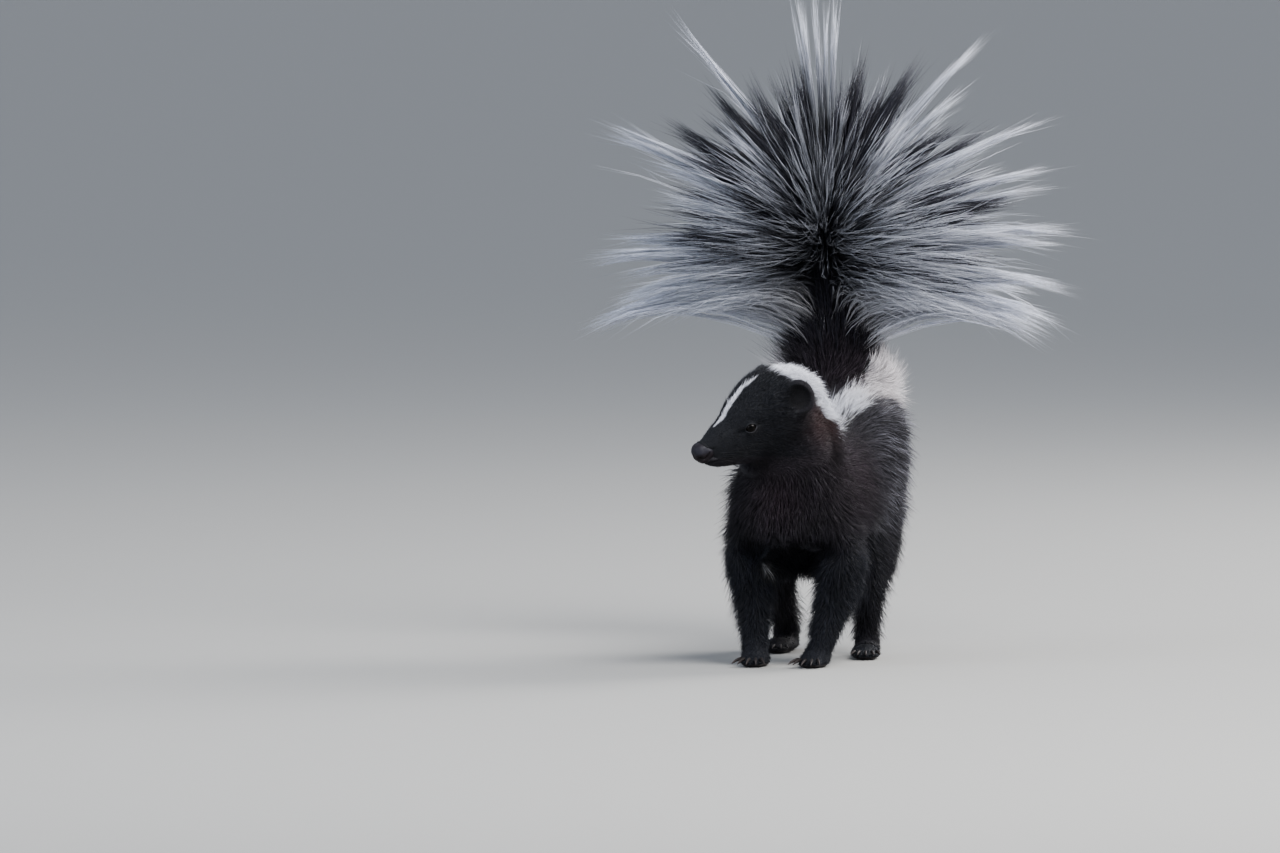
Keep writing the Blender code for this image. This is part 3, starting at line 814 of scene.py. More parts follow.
def build_strands(name, paths, radii, flatness, ups, root_uv, colours, rng, material):
    """One coat piece of many strands, each on a small patch of the skin's map. colours is (n, k, 3)."""
    points, faces, ring = fur_strands(paths, radii, flatness, ups)
    last = paths.shape[1] - 1
    across, along = np.append(np.tile((0.0, -1.0, 1.0), last), 0), ring / last
    patch = np.stack([0.45 * across, 0.9 * (along - 0.5)], axis=1) * PATCH
    middle = (np.floor(root_uv / PATCH) + 0.5) * PATCH
    obj = new_piece(name, points, faces, material, (middle[:, None] + patch).reshape(-1, 2))
    store(obj.data, "coat", colours[:, ring].reshape(-1, 3), "FLOAT_COLOR")
    own = rng.uniform(0, 50, len(paths))
    grain = np.stack(np.broadcast_arrays(across, along, own[:, None]), axis=2)
    store(obj.data, "grain", grain.reshape(-1, 3), "FLOAT_VECTOR")
    return obj


def colour_setting(name, description, default):
    return FloatVectorProperty(name=name, description=description, subtype="COLOR", default=default)


def number_setting(name, description, default, least, most):
    return FloatProperty(name=name, description=description, default=default, min=least, max=most)


def share_setting(name, description, least, most):
    return FloatProperty(name=name, description=description, subtype="FACTOR", default=1, min=least, max=most)


class SkinSettings(bpy.types.PropertyGroup):
    voxel: number_setting("Grain", "Size of the skin's faces, in mm", 1.4, 0.8, 4)
    lid_colour: colour_setting("Lid rim", "Bare rim of the eyelids", (0.06, 0.057, 0.066))
    pad_colour: colour_setting("Soles", "Bare soles of the feet", (0.06, 0.045, 0.045))


class CoatSettings(bpy.types.PropertyGroup):
    seed: IntProperty(name="Seed", description="Changes the scatter of the hair", default=7, min=0)
    length: share_setting("Length", "Hair length against life", 0.3, 1.5)
    room: number_setting("Room", "Room between tufts against the full coat", 1, 0.8, 4)
    black: colour_setting("Black", "Dark coat", (0.021, 0.0185, 0.025))
    rust: colour_setting("Rust", "Neck behind the ears", (0.06, 0.027, 0.027))
    purple: colour_setting("Purple", "Shoulder, breast and tail's root", (0.042, 0.029, 0.038))
    # Painted blue sheen of the black fur on the face and legs
    blue: colour_setting("Blue", "Face and legs", (0.0155, 0.0175, 0.026))
    white: colour_setting("White", "Cap, blaze and stripes", (0.84, 0.85, 0.9))


class PlumeSettings(bpy.types.PropertyGroup):
    seed: IntProperty(name="Seed", description="Changes the scatter of the plume", default=21, min=0)
    share: share_setting("Fullness", "Strands against the full plume", 0, 1)
    thickness: number_setting("Strand", "Width of a strand, in mm", 0.37, 0.1, 1)
    white: colour_setting("White", "Long pale hair", (0.84, 0.87, 0.95))
    black: colour_setting("Black", "Shorter dark hair", (0.027, 0.027, 0.036))


class FeatureSettings(bpy.types.PropertyGroup):
    iris: colour_setting("Iris", "Eye colour", (0.003, 0.002, 0.0016))
    nose: colour_setting("Nose", "Leather of the nose", (0.014, 0.01, 0.0135))
    # Painted highlight: lighter, bluer leather where the nose's top faces the sky
    nose_highlight: colour_setting("Nose's top", "Leather that faces the sky", (0.022, 0.0212, 0.0305))
    horn: colour_setting("Claws", "Horn of the claws", (0.022, 0.018, 0.018))
    whisker: number_setting("Whiskers", "Longest whisker, in mm", 24, 0, 60)


class StageSettings(bpy.types.PropertyGroup):
    floor: colour_setting("Floor", "Floor colour", (0.36, 0.355, 0.345))
    light: number_setting("Light", "Strength of the studio's lights", 1, 0, 10)


class SkunkOperator:
    """What the skunk's operators share."""

    bl_options = {"REGISTER", "UNDO"}


class SKUNK_OT_skin(SkunkOperator, bpy.types.Operator):
    """Melts the flesh into one skin, sinks it by the coat's depth and models the face on it"""

    bl_idname = "skunk.skin"
    bl_label = "Skin"

    def execute(self, context):
        settings = context.scene.skunk_skin
        points, triangles = refined(melted_flesh(settings.voxel))
        web = Web(triangles, len(points))
        # The fold where the neck meets the shoulder is filled, and so is the step above each foot
        z = points[:, 2]
        fold = blob(points, (29, -60, 132), (15, 14, 26))
        ankle = ramp(z, 3, 8) * fall(z, 17, 24) * 0.3
        points = points + (web.smooth(points, 90) - points) * np.maximum(fold, ankle)[:, None]
        # The breast's underside rises between the forelegs
        z = points[:, 2]
        arch = blob(points[:, :2], (3, -62), (13, 26)) * ramp(z, 40, 50) * fall(z, 70, 90)
        points[:, 2] += 9 * arch * ramp(-point_normals(points, triangles)[:, 2], -0.1, 0.5)
        nodes = nearest_nodes(points)
        fur = web.smooth(self.fur(points, nodes, -point_normals(points, triangles)[:, 2]), 14)
        steps = 4
        for _ in range(steps):
            sunk = points - point_normals(points, triangles) * (fur[:, :1] / steps)
            points = web.smooth(sunk, 1)
        points = sculpt_face(points)
        normals = point_normals(points, triangles)
        colour, _ = coat_colour(points, context.scene.skunk_coat)
        # Bare places: the lids' rims, the nose's leather and the soles
        local = in_head(points)
        size, ways = about_nose(local)
        bare = (size < 12) * leather(ways)
        for side in (1, -1):
            _, size, ahead, y, outside = about_eye(local, side)
            rim = fall(outside, 0.4, 0.75) * (size < 6.5) * (ahead > 0.1)
            bare = np.maximum(bare, rim)
            lower = rim * (0.25 + 0.75 * ramp(-y, -0.5, 1.5))
            colour = blend(colour, settings.lid_colour, lower)
        sole = fall(points[:, 2], 1.2, 2.6) * (normals[:, 2] < -0.3)
        colour = blend(colour, settings.pad_colour, sole)
        obj = new_piece("skin", points, [triangles], skin_material())
        mesh = obj.data
        store(mesh, "coat", colour * 0.6, "FLOAT_COLOR")
        store(mesh, "lie", lie_of_coat(points, normals, nodes, web), "FLOAT_VECTOR")
        store(mesh, "part", nodes, "INT")
        store(mesh, "bare", np.maximum(bare, sole))
        for name, values in zip(MEASURES[1:], fur.T[1:]):
            store(mesh, name, values)
        unwrap(obj)
        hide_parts(*COAT)
        return {"FINISHED"}

    def fur(self, points, nodes, down):
        """The fur's measures at each point. down is 1 where the surface faces the floor."""
        kinds, forward = KINDS[nodes], -in_head(points)[:, 1]
        fur = np.array([FUR[kind][0] for kind in KINDS], float)[nodes]
        depth, length, _, lift, room = fur.T
        x, y, z = points.T
        face, trunk, legs = kinds == "head", kinds == "trunk", np.isin(kinds, ("foreleg", "hindleg"))
        length *= np.where(face, np.interp(forward, (-20, 5, 30, 50), (1.45, 1.0, 0.62, 0.34)), 1)
        depth *= np.where(face, np.interp(forward, (-20, 10, 40), (1.5, 1, 0.55)), 1)
        stem = (kinds == "tail_root") & (z > 200)
        depth[stem] = 0
        # Shorter towards the feet and under the chest and the belly
        length *= np.where(legs, np.interp(z, (9, 40), (0.42, 1)) ** np.where(y > 0, 0.45, 1), 1)
        depth *= np.where(legs, np.interp(z, (9, 30), (0.3, 1)), 1)
        under = ramp(down, 0, 0.7) * trunk
        length *= 1 - 0.5 * under
        length *= np.where(trunk, np.interp(z, (62, 88), (0.55, 1)), 1)
        depth *= 1 + 2.2 * under * ramp(-y, -75, -40)
        # Close over the left thigh, and long at the tail's root
        thigh = ramp(x, 24, 40) * ramp(y, 0, 40) * fall(z, 96, 122)
        fringe = ramp(-x, 22, 34) * ramp(y, 60, 75) * ramp(z, 160, 172)
        wispy = ramp(x, 7, 17) * ramp(y, 55, 70) * ramp(z, 170, 181) * ~stem
        depth += 3.4 * thigh * ramp(z, 24, 50)
        depth += 3.6 * wispy
        lift += 22 * fringe
        for share, longer, roomier in ((thigh, -0.15, 0), (fringe, 0.65, -0.25), (wispy, 0.3, 0.35)):
            length *= 1 + longer * share
            room *= 1 + roomier * share
        # The nape's tufts are short though they stand up
        nape = face * ramp(-forward, 4, 12)
        neck_top = (kinds == "neck") * ramp(z, 145, 158)
        length *= 1 - 0.3 * nape - 0.4 * neck_top
        return fur


def unwrap(obj):
    """Lays the skin's own shape out flat, as the map that the bake and the tufts use."""
    obj.data.uv_layers.new(name="OFBake")
    context = bpy.context
    for other in context.selected_objects:
        other.select_set(False)
    context.view_layer.objects.active = obj
    obj.select_set(True)
    bpy.ops.object.mode_set(mode="EDIT")
    bpy.ops.mesh.select_all(action="SELECT")
    bpy.ops.uv.smart_project(angle_limit=math.radians(72), island_margin=0.002)
    bpy.ops.object.mode_set(mode="OBJECT")
    obj.select_set(False)


def scatter(triangles, points, weights, rng):
    """Evenly scattered places on the triangles: (triangle of each, its shares of the corners)."""
    a, b, c = (points[triangles[:, i]] for i in range(3))
    area = np.linalg.norm(np.cross(b - a, c - a), axis=1) / 2 * weights
    total = np.cumsum(area)
    count = int(total[-1])
    picks = (np.arange(count) + rng.uniform(0, 1, count)) * (total[-1] / max(count, 1))
    chosen = np.searchsorted(total, np.minimum(picks, total[-1] * 0.999999))
    first, second = rng.uniform(0, 1, (2, count))
    over = first + second > 1
    first[over], second[over] = 1 - first[over], 1 - second[over]
    return chosen, np.stack([1 - first - second, first, second], axis=1)


class SKUNK_OT_coat(SkunkOperator, bpy.types.Operator):
    """Grows the coat on the skin in thin overlapping tufts, shortest on the face and the feet"""

    bl_idname = "skunk.coat"
    bl_label = "Coat"

    def execute(self, context):
        settings = context.scene.skunk_coat
        skin = bpy.data.objects["skin"].data
        points, triangles = drawn(mesh_points(skin)), mesh_triangles(skin)
        normals = point_normals(points, triangles)
        part = read(skin.attributes["part"].data, "value", kind=np.int32)
        corners = read(skin.loop_triangles, "loops", 3, np.int32)
        uv = read(skin.uv_layers["OFBake"].uv, "vector", 2)[corners]
        values = {name: read(skin.attributes[name].data, "value") for name in (*MEASURES[1:], "bare")}
        lie = read(skin.attributes["lie"].data, "vector", 3)
        rng = np.random.default_rng(settings.seed)
        material = coat_material("Coat", 0.5)
        kinds = KINDS[part[triangles[:, 0]]]
        middles = points[triangles].mean(1)
        furred = middles[:, 2] <= COAT_TOP
        for name, covered in COAT_PIECES.items():
            mine = np.isin(kinds, covered) & furred
            if name.startswith("coat_trunk"):
                mine &= (middles[:, 0] > 0) == name.endswith("left")
            faces = triangles[mine]
            room = values["room"][faces].mean(1) * settings.room
            bare = values["bare"][faces].max(1)
            chosen, share = scatter(faces, points, (bare < 0.3) / room**2, rng)
            pick = faces[chosen]

            def at(field):
                return np.einsum("nk,nk...->n...", share, field[pick])

            roots, up, way = at(points), unit(at(normals)), unit(at(lie))
            fur = {key: at(field) for key, field in values.items()}
            root_uv = np.einsum("nk,nkd->nd", share, uv[mine][chosen])
            colour, white = coat_colour(roots, settings)
            paths, radii, guard = tuft_paths(roots, up, way, fur, white, settings, rng)
            tones = tuft_tones(colour, white, roots, guard, rng)
            build_strands(name, paths, radii, 0.5, up, root_uv, tones, rng, material)
        return {"FINISHED"}


def tuft_paths(roots, up, way, fur, white, settings, rng):
    """The line and half widths of each tuft from its root under the skin, and which tufts are guard hairs."""
    count = len(roots)
    guard = rng.uniform(0, 1, count) < GUARD_SHARE
    sway = ripple(roots, 7, 31)[:, 0] * 0.2 + rng.normal(0, 0.17, count)
    way = unit(way + np.cross(up, way) * sway[:, None])
    behind = in_head(roots)[:, 1]
    nape = white * ramp(behind, 7, 17) * fall(behind, 30, 44) * (roots[:, 2] > 140)
    rump = white * ramp(roots[:, 1], 10, 60)
    length = fur["length"] * settings.length * rng.uniform(0.75, 1.2, count) * np.where(guard, 1.28, 0.9)
    length = length * (1 + 0.1 * ripple(roots, 12, 33)[:, 0]) * (1 + 0.1 * rump)
    lift = fur["lift"] * rng.uniform(0.6, 1.4, count) * np.where(guard, 1.35, 1) + 24 * nape + 14 * rump
    lift = np.radians(np.minimum(lift, 80))
    paths = np.empty((count, len(TUFT_STEPS), 3))
    paths[:, 0] = roots - up * TUFT_ROOT
    for k, (low, high) in enumerate(zip(TUFT_STEPS, TUFT_STEPS[1:])):
        middle = (low + high) / 2
        # Tufts rise most at the root, and their tips sag
        angle = lift * (1.3 - 0.8 * middle)
        step = way * np.cos(angle)[:, None] + up * np.sin(angle)[:, None]
        step[:, 2] -= 0.12 * middle
        paths[:, k + 1] = paths[:, k] + unit(step) * (length * (high - low))[:, None]
    clump = ripple(roots, 3.2, 37, 3) * 0.06
    paths += clump[:, None] * (TUFT_STEPS**2)[:, None] * length[:, None, None]
    half = fur["width"] / 2 * rng.uniform(0.75, 1.25, count) * np.where(guard, 0.62, 1)
    return paths, half[:, None] * np.array((1, 0.72, 0)), guard


def tuft_tones(colour, white, roots, guard, rng):
    """The colour along each tuft: dark roots, and tips that differ a little from tuft to tuft."""
    count = len(roots)
    x, y, z = roots.T
    pale = white > rng.uniform(0.25, 0.75, count)
    # A few pale hairs on the front of the tail's root
    pale |= (rng.uniform(0, 1, count) < 0.03) & (y > 66) & (z > 155) & guard
    tone = rng.uniform(0.6, 1.4, count) * (1 + 0.15 * ripple(roots, 9, 41)[:, 0])
    tone = np.where(pale, 0.94 + 0.1 * (tone - 1), tone)
    # Grey tips down the left flank and on the rump: partly the coat's grizzle, partly painted highlight
    flank = ramp(x, 18, 36) * ramp(y, -25, 30) * ramp(z, 64, 92)
    silver = flank * rng.uniform(0, 1, count) ** 2 * np.where(guard, 42, 9)
    silver = np.outer(silver * ~pale, (0, 0.3, 1))[:, :, None] * (0.021, 0.021, 0.0235)
    base = np.where(pale[:, None], np.maximum(colour, 0.6), np.minimum(colour, 0.06))
    rise = np.where(pale[:, None], (0.62, 0.98, 1.08), (0.5, 0.9, 1.6))
    return base[:, None] * (tone[:, None] * rise)[:, :, None] + silver


def fan_point(angle, reach, lean):
    """Places at angles from upright round the fan's middle, leaning out of its face, in radians."""
    upright = unit(np.array((0, -FAN_LEAN, 1)))
    back = np.array((0, upright[2], -upright[1]))
    out = np.multiply.outer(np.sin(angle), (1, 0, 0)) + np.multiply.outer(np.cos(angle), upright)
    way = out * np.cos(lean)[..., None] + np.multiply.outer(np.sin(lean), back)
    return np.array(FAN_MIDDLE) + way * np.asarray(reach)[..., None]


def stem_at(height):
    """Middle and radius of the tail's stem at each height."""
    x, y, radius = (np.interp(height, STEM[:, 2], STEM[:, i]) for i in (0, 1, 3))
    return np.stack([x, y, height], axis=-1), radius


def fan_strands(angles, reach, leans, mid, tip, wisps, size, rng, shortest=0.76, swing=0.9):
    """Strands in wisps of size, which leave the stem, rise and bend over: their lines, tones and angles."""

    def each(values):
        return np.repeat(np.broadcast_to(np.asarray(values, float), wisps), size)

    count = wisps * size
    angle_deg, reach, lean = each(angles), each(reach), np.radians(each(leans))
    angle = np.radians(angle_deg)
    # The lowest locks leave the stem below the fan's middle
    low = np.clip((np.abs(angle_deg) - 88) / 17, 0, 1)
    high = 222 + 42 * np.cos(angle) + each(rng.normal(0, 9, wisps)) + rng.normal(0, 1.5, count)
    height = np.clip(high * (1 - low) + (194 + each(rng.normal(0, 7, wisps))) * low, 176, 312)
    middle, radius = stem_at(height)
    turn = angle + each(rng.normal(0, 0.12, wisps)), lean + each(rng.normal(0, 0.3, wisps))
    out = unit(fan_point(turn[0], np.ones(count), turn[1]) - FAN_MIDDLE + rng.normal(0, 0.06, (count, 3)))
    roots = middle + out * (radius * 0.8)[:, None]
    rise = math.radians(13) * np.clip(angle_deg / 40, -1, 1)
    elbow, end = fan_point(angle - rise, reach * 0.52, lean), fan_point(angle, reach, lean)
    far = end - FAN_MIDDLE
    across = unit(np.cross(far, (0, 1, 0.1)))
    deep = unit(np.cross(far, across))
    own = rng.uniform(0, 2 * math.pi, wisps)
    wide = np.sqrt(rng.uniform(0, 1, wisps))
    last = each(1 - (1 - shortest) * rng.uniform(0, 1, wisps) ** 1.8) + rng.normal(0, 0.045, count)
    t = STRAND_STEPS * last[:, None]
    paths = bent(roots[:, None], elbow[:, None], end[:, None], t)
    spreads = np.interp(t, (0, 0.25, 0.5, 0.75, 0.9, 1), (0, 1.15, 1, 0.72, 0.62, 0.95))
    spreads = spreads * (mid + (tip - mid) * ramp(t, 0.6, 1))
    for vector, place in ((across, each(np.cos(own) * wide)), (deep, each(np.sin(own) * wide))):
        phase, amount = each(rng.uniform(0, 2 * math.pi, wisps)), each(rng.normal(0, swing, wisps))
        shift = (place + rng.normal(0, 0.09, count))[:, None] * spreads
        wave = np.sin(t * 8 + phase[:, None]) * ramp(t, 0.25, 1)
        shift += (amount + rng.normal(0, 0.2, count))[:, None] * wave
        shift += rng.normal(0, 0.3, count)[:, None] * ramp(t, 0.1, 0.6)
        parted = each(rng.normal(0, 2.3, wisps)) + rng.normal(0, 0.5, count)
        shift += parted[:, None] * ramp(t, 0.72, 1.05) ** 2
        paths += shift[..., None] * vector[:, None]
    tone = each(rng.uniform(0.5, 1.05, wisps)) * rng.uniform(0.85, 1.1, count)
    tone *= np.interp(np.degrees(lean), (-60, -22, 0), (0.4, 0.8, 1))
    return paths, tone, angle_deg


class SKUNK_OT_plume(SkunkOperator, bpy.types.Operator):
    """Fans the tail's long white locks over shorter dark ones"""

    bl_idname = "skunk.plume"
    bl_label = "Plume"

    def execute(self, context):
        settings = context.scene.skunk_plume
        rng = np.random.default_rng(settings.seed)
        kinds = {"white": [], "dark": []}
        for kind, table, fullness in (("white", WHITE_LOCKS, 0.72), ("dark", DARK_LOCKS, 0.85)):
            for angle, reach, lean, count, mid, tip in table:
                wisps = max(int(count * (settings.share * fullness) / WISP), 1)
                kinds[kind].append(fan_strands(angle, reach, lean, mid, tip, wisps, WISP, rng))
        peaks = np.array([row[0] for row in WHITE_LOCKS])
        for lean, scatter_deg, least, most, wisps, white in FAN_LAYERS:
            wisps = max(int(wisps * settings.share), 4)
            angles = FAN_SPREAD * (2 * (np.arange(wisps) + rng.uniform(0, 1, wisps)) / wisps - 1)
            near = bell(angles[:, None], peaks, 5).max(1)
            pale = rng.uniform(0, 1, wisps) < white * (0.45 + 1.1 * near + 1.2 * ramp(np.abs(angles), 88, 96))
            for kind, mine in (("white", pale), ("dark", ~pale)):
                many = int(mine.sum())
                reach, leans = rng.uniform(least, most, many), rng.normal(lean, scatter_deg, many)
                kinds[kind].append(fan_strands(angles[mine], reach, leans, 2, 2.5, many, 2, rng, 0.8, 0.6))
        # Single curly hairs that stray from the locks
        for low, high, many in ((38, 110, 46), (-110, -40, 18), (-40, 38, 10)):
            many = max(int(many * settings.share), 1)
            angles, reach = rng.uniform(low, high, many), rng.uniform(118, 158, many)
            leans = rng.normal(0, 14, many)
            kinds["white"].append(fan_strands(angles, reach, leans, 4, 9, many, 2, rng, 0.8, 4.5))
        kinds["dark"].append(self.cover(rng, int(COVER * settings.share)))
        skin = skin_map()
        for kind, parts in kinds.items():
            strands = [np.concatenate(values) for values in zip(*parts)]
            material = coat_material(f"Plume {kind}", 0.42)
            turns, before = strands[2], -181
            for name, cut in FAN_CUTS[kind]:
                mine = [values[(turns >= before) & (turns < cut)] for values in strands]
                before = cut
                obj = self.piece(f"plume_{kind}_{name}", kind, mine, skin, material, settings, rng)
                if kind == "white":
                    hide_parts(f"plume_{name}")
        return {"FINISHED"}

    def cover(self, rng, count):
        """Short dark hair over the stem below the fan's middle."""
        middle, radius = stem_at(rng.uniform(172, 236, count))
        turn = rng.uniform(0, 2 * math.pi, count)
        out = np.stack([np.cos(turn), np.sin(turn), np.zeros(count)], axis=1)
        roots = middle + out * (radius * 0.9)[:, None]
        length = rng.uniform(18, 32, count)[:, None, None]
        lift = rng.uniform(0.2, 0.6, count)[:, None, None]
        t = STRAND_STEPS[:, None]
        up = np.array((0, -0.12, 1))
        paths = roots[:, None] + length * (out[:, None] * lift * t * (1.25 - 0.5 * t) + up * t)
        return paths, rng.uniform(0.5, 1, count), np.degrees(np.arcsin(np.clip(out[:, 0], -1, 1)))

    def piece(self, name, kind, strands, skin, material, settings, rng):
        paths, tone, turns = strands
        count = len(paths)
        taper = np.interp(STRAND_STEPS, (0, 0.15, 0.6, 1), (0.7, 1, 0.95, 0.4))
        radii = settings.thickness / 2 * rng.uniform(0.75, 1.25, count)[:, None] * taper
        if kind == "white":
            # Dark at the stem, and cream on the lowest locks, which past the stem are lifted above the white
            # by painted light
            middle, _ = stem_at(np.clip(paths[:, :, 2], 180, 318))
            away = np.linalg.norm(paths - middle, axis=2)
            low = ramp(np.abs(turns), 90, 99)[:, None]
            fan = np.interp(away, (8, 18, 46), (0.08, 0.36, 1))
            # The lowest locks rise to 1.25 times the white: painted light on hair that lies in shade
            side = np.interp(away, (8, 13, 22), (0.35, 1, 1.25))
            rise = (fan * (1 - low) + side * low) * (1 + 0.2 * ramp(away, 85, 145))
            colours = np.array(settings.white) * (rise * tone[:, None])[..., None]
            cream = (low * np.interp(away, (10, 60), (1, 0)))[..., None]
            colours = colours * (1 + cream * (0.04, -0.02, -0.1))
        else:
            rise = np.interp(STRAND_STEPS, (0, 0.3, 0.6, 1), (0.5, 1.1, 1.3, 1.0))
            colours = np.array(settings.black) * (rise * (tone**2 * 1.9)[:, None])[..., None]
        tree, uv = skin
        root_uv = np.array([uv[tree.find(p)[1]] for p in placed(paths[:, 0]).tolist()])
        ups = unit(rng.normal(size=(count, 3)))
        return build_strands(name, paths, radii, 0.8, ups, root_uv, colours, rng, material)


def skin_map():
    """A search tree of the skin's points, and each point's place in its map."""
    skin = bpy.data.objects["skin"].data
    points = mesh_points(skin)
    tree = KDTree(len(points))
    for i, p in enumerate(points.tolist()):
        tree.insert(p, i)
    tree.balance()
    found = np.zeros((len(points), 2))
    owners = read(skin.loops, "vertex_index", kind=np.int32)
    found[owners] = read(skin.uv_layers["OFBake"].uv, "vector", 2)
    return tree, found


def ball_mesh(across, around):
    """Points of a unit ball, poles on Z, and its faces."""
    turns = circle(across)
    falls = np.linspace(0, math.pi, around + 1)[1:-1]
    rows = [
        np.stack([np.cos(turns) * math.sin(f), np.sin(turns) * math.sin(f), np.full(across, math.cos(f))], 1)
        for f in falls
    ]
    points = np.concatenate([[(0, 0, 1)], *rows, [(0, 0, -1)]])
    last = len(points) - 1
    tips = []
    for k in range(across):
        after = (k + 1) % across
        tips += [(0, 1 + k, 1 + after), (last, last - across + after, last - across + k)]
    return points, [1 + ring_quads(len(falls), across)[:, [0, 3, 2, 1]], np.array(tips)]


class SKUNK_OT_eyes(SkunkOperator, bpy.types.Operator):
    """Round glossy eyes with a clear bulge over a dark iris"""

    bl_idname = "skunk.eyes"
    bl_label = "Eyes"
    # From the middle of the pupil to the white: (angle in radians, tint)
    rings = (
        (0.0, (0, 0, 0)),
        (0.30, (0, 0, 0)),
        (0.36, (1, 1, 1)),
        (0.62, (0.9, 0.9, 0.9)),
        (0.72, (0.12, 0.1, 0.1)),
    )

    def execute(self, context):
        iris = context.scene.skunk_features.iris
        shader = Shader("Eye", Roughness=0.05, Specular_IOR_Level=0.17)
        flecks = shader.noise(shader.places(), 2600.0, 3, 0.6)
        shade = shader.node("ShaderNodeValToRGB", {"stops": self.rings}, {"Fac": shader.attribute("gaze")})
        shader.drive(Base_Color=shader.tinted(shader.mix(flecks, iris, scaled(iris, 2.2)), shade))
        ball, faces = ball_mesh(40, 28)
        angle = np.arccos(np.clip(ball[:, 2], -1, 1))
        bulge = 0.045 * fall(angle, 0.35, 0.8)
        for side, name in ((1, "left"), (-1, "right")):
            out = Vector(unit(mirrored(EYE_FACES, side)))
            spin = np.array(Vector((0, 0, 1)).rotation_difference(out).to_matrix())
            points = ball * (EYEBALL_RADIUS * (1 + bulge))[:, None] @ spin.T
            points = on_head(points + mirrored(EYE_AT, side))
            obj = new_piece(f"eyeball_{name}", points, faces, shader.material)
            store(obj.data, "gaze", angle)
            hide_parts(f"eye_{name}")
        return {"FINISHED"}


class SKUNK_OT_nose(SkunkOperator, bpy.types.Operator):
    """The leather nose, with comma-shaped nostrils and a grooved middle"""

    bl_idname = "skunk.nose"
    bl_label = "Nose"

    def execute(self, context):
        settings = context.scene.skunk_features
        ways, faces = ball_mesh(96, 64)
        x, y, z = ways[:, 0], -ways[:, 1], ways[:, 2]
        swell, hole = np.zeros(len(ways)), np.zeros(len(ways))
        for side in (-1, 1):
            turn = np.degrees(np.arctan2(side * x, y))
            spots = np.stack([turn, z], axis=1)
            pit = blob(spots, (50, -0.3), (17, 0.2))
            line = np.interp(turn, (50, 77, 95, 110), (-0.4, -0.42, -0.2, 0.06))
            slit = bell(z, line, 0.085) * ramp(turn, 44, 54) * fall(turn, 104, 112)
            hole = np.maximum(hole, np.maximum(pit, 0.85 * slit))
            swell += 0.05 * blob(spots, (60, 0.15), (26, 0.2))
        groove = bell(x, 0, 0.075) * ramp(y, 0.2, 0.6) * (1 - 0.4 * ramp(z, 0.1, 0.5))
        shaped = ways * (nose_reach(ways) * (1 + swell - 0.26 * hole - 0.08 * groove))[:, None]
        shader = Shader("Nose leather", Specular_IOR_Level=0.28)
        inputs = {"Vector": shader.places(), "Scale": 1500.0}
        pebbles = shader.node("ShaderNodeTexVoronoi", {"feature": "F1"}, inputs)
        # The leather that faces the sky is lighter and bluer, a painted highlight
        tone = shader.mix(shader.attribute("top"), settings.nose, settings.nose_highlight)
        tone = shader.mix(pebbles, tone, shader.tinted(tone, (0.75, 0.75, 0.75)))
        # Nostrils: dark red inside, their own colour darkened by painted shade
        nostril_red_and_shade = [channel * 0.3 * by for channel, by in zip(settings.nose, (0.8, 0.25, 0.3))]
        colour = shader.mix(shader.attribute("pit"), tone, nostril_red_and_shade)
        normal = shader.bump(pebbles, 0.0001)
        shader.drive(Base_Color=colour, Roughness=0.45 + pebbles * 0.2, Normal=normal)
        obj = new_piece("nose_leather", on_head(shaped + NOSE_AT), faces, shader.material)
        # Mask of the nostrils, where painted shade darkens the leather
        store(obj.data, "pit", np.clip(hole * 1.2, 0, 1))
        # Where the painted highlight lies, on the nose's top
        store(obj.data, "top", ramp(z, -0.15, 0.35) * (1 - 0.6 * ramp(z, 0.6, 0.85)))
        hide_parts("nose")
        return {"FINISHED"}


class SKUNK_OT_whiskers(SkunkOperator, bpy.types.Operator):
    """Stiff whiskers on the muzzle and brows"""

    bl_idname = "skunk.whiskers"
    bl_label = "Whiskers"

    def execute(self, context):
        longest = context.scene.skunk_features.whisker
        rng = np.random.default_rng(77)
        steps = np.linspace(0, 1, 9)
        t = steps[:, None]
        paths = []
        for side in (-1, 1):
            for row in range(3):
                for k in range(5):
                    at = mirrored((8.2 + 0.35 * k, -(46 - 2.6 * k), -8.5 - 1.9 * row), side)
                    way = mirrored((1.0, 0.55 + 0.12 * k, -0.25 * row + 0.05), side)
                    way = unit(way + rng.normal(0, 0.08, 3))
                    length = longest * rng.uniform(0.5, 0.9) * (1 - 0.12 * row)
                    bend = mirrored((-0.25, 0.5, -0.22), side) * length * 0.5
                    paths.append(at - way * 2.5 + way * length * t + bend * t**2)
            for k in range(3):
                at = mirrored((13 + k, -(24 - 2 * k), 7.2 + 0.4 * k), side)
                way = unit(mirrored((0.6, 0.25, 0.8), side) + rng.normal(0, 0.1, 3))
                paths.append(at - way + way * 11 * t + mirrored((0.2, 0.5, -0.3), side) * 5 * t**2)
        radii = np.tile(np.interp(steps, (0, 1), (0.11, 0.03)), (len(paths), 1))
        ups = unit(rng.normal(size=(len(paths), 3)))
        points, faces, _ = fur_strands(on_head(np.array(paths)), radii, 1.0, ups)
        shader = Shader("Whisker", Roughness=0.35)
        tone = shader.noise(shader.places(), 300.0)
        shader.drive(Base_Color=shader.mix(tone, (0.01, 0.01, 0.011), (0.05, 0.048, 0.05)))
        new_piece("whiskers", points, faces, shader.material)
        return {"FINISHED"}


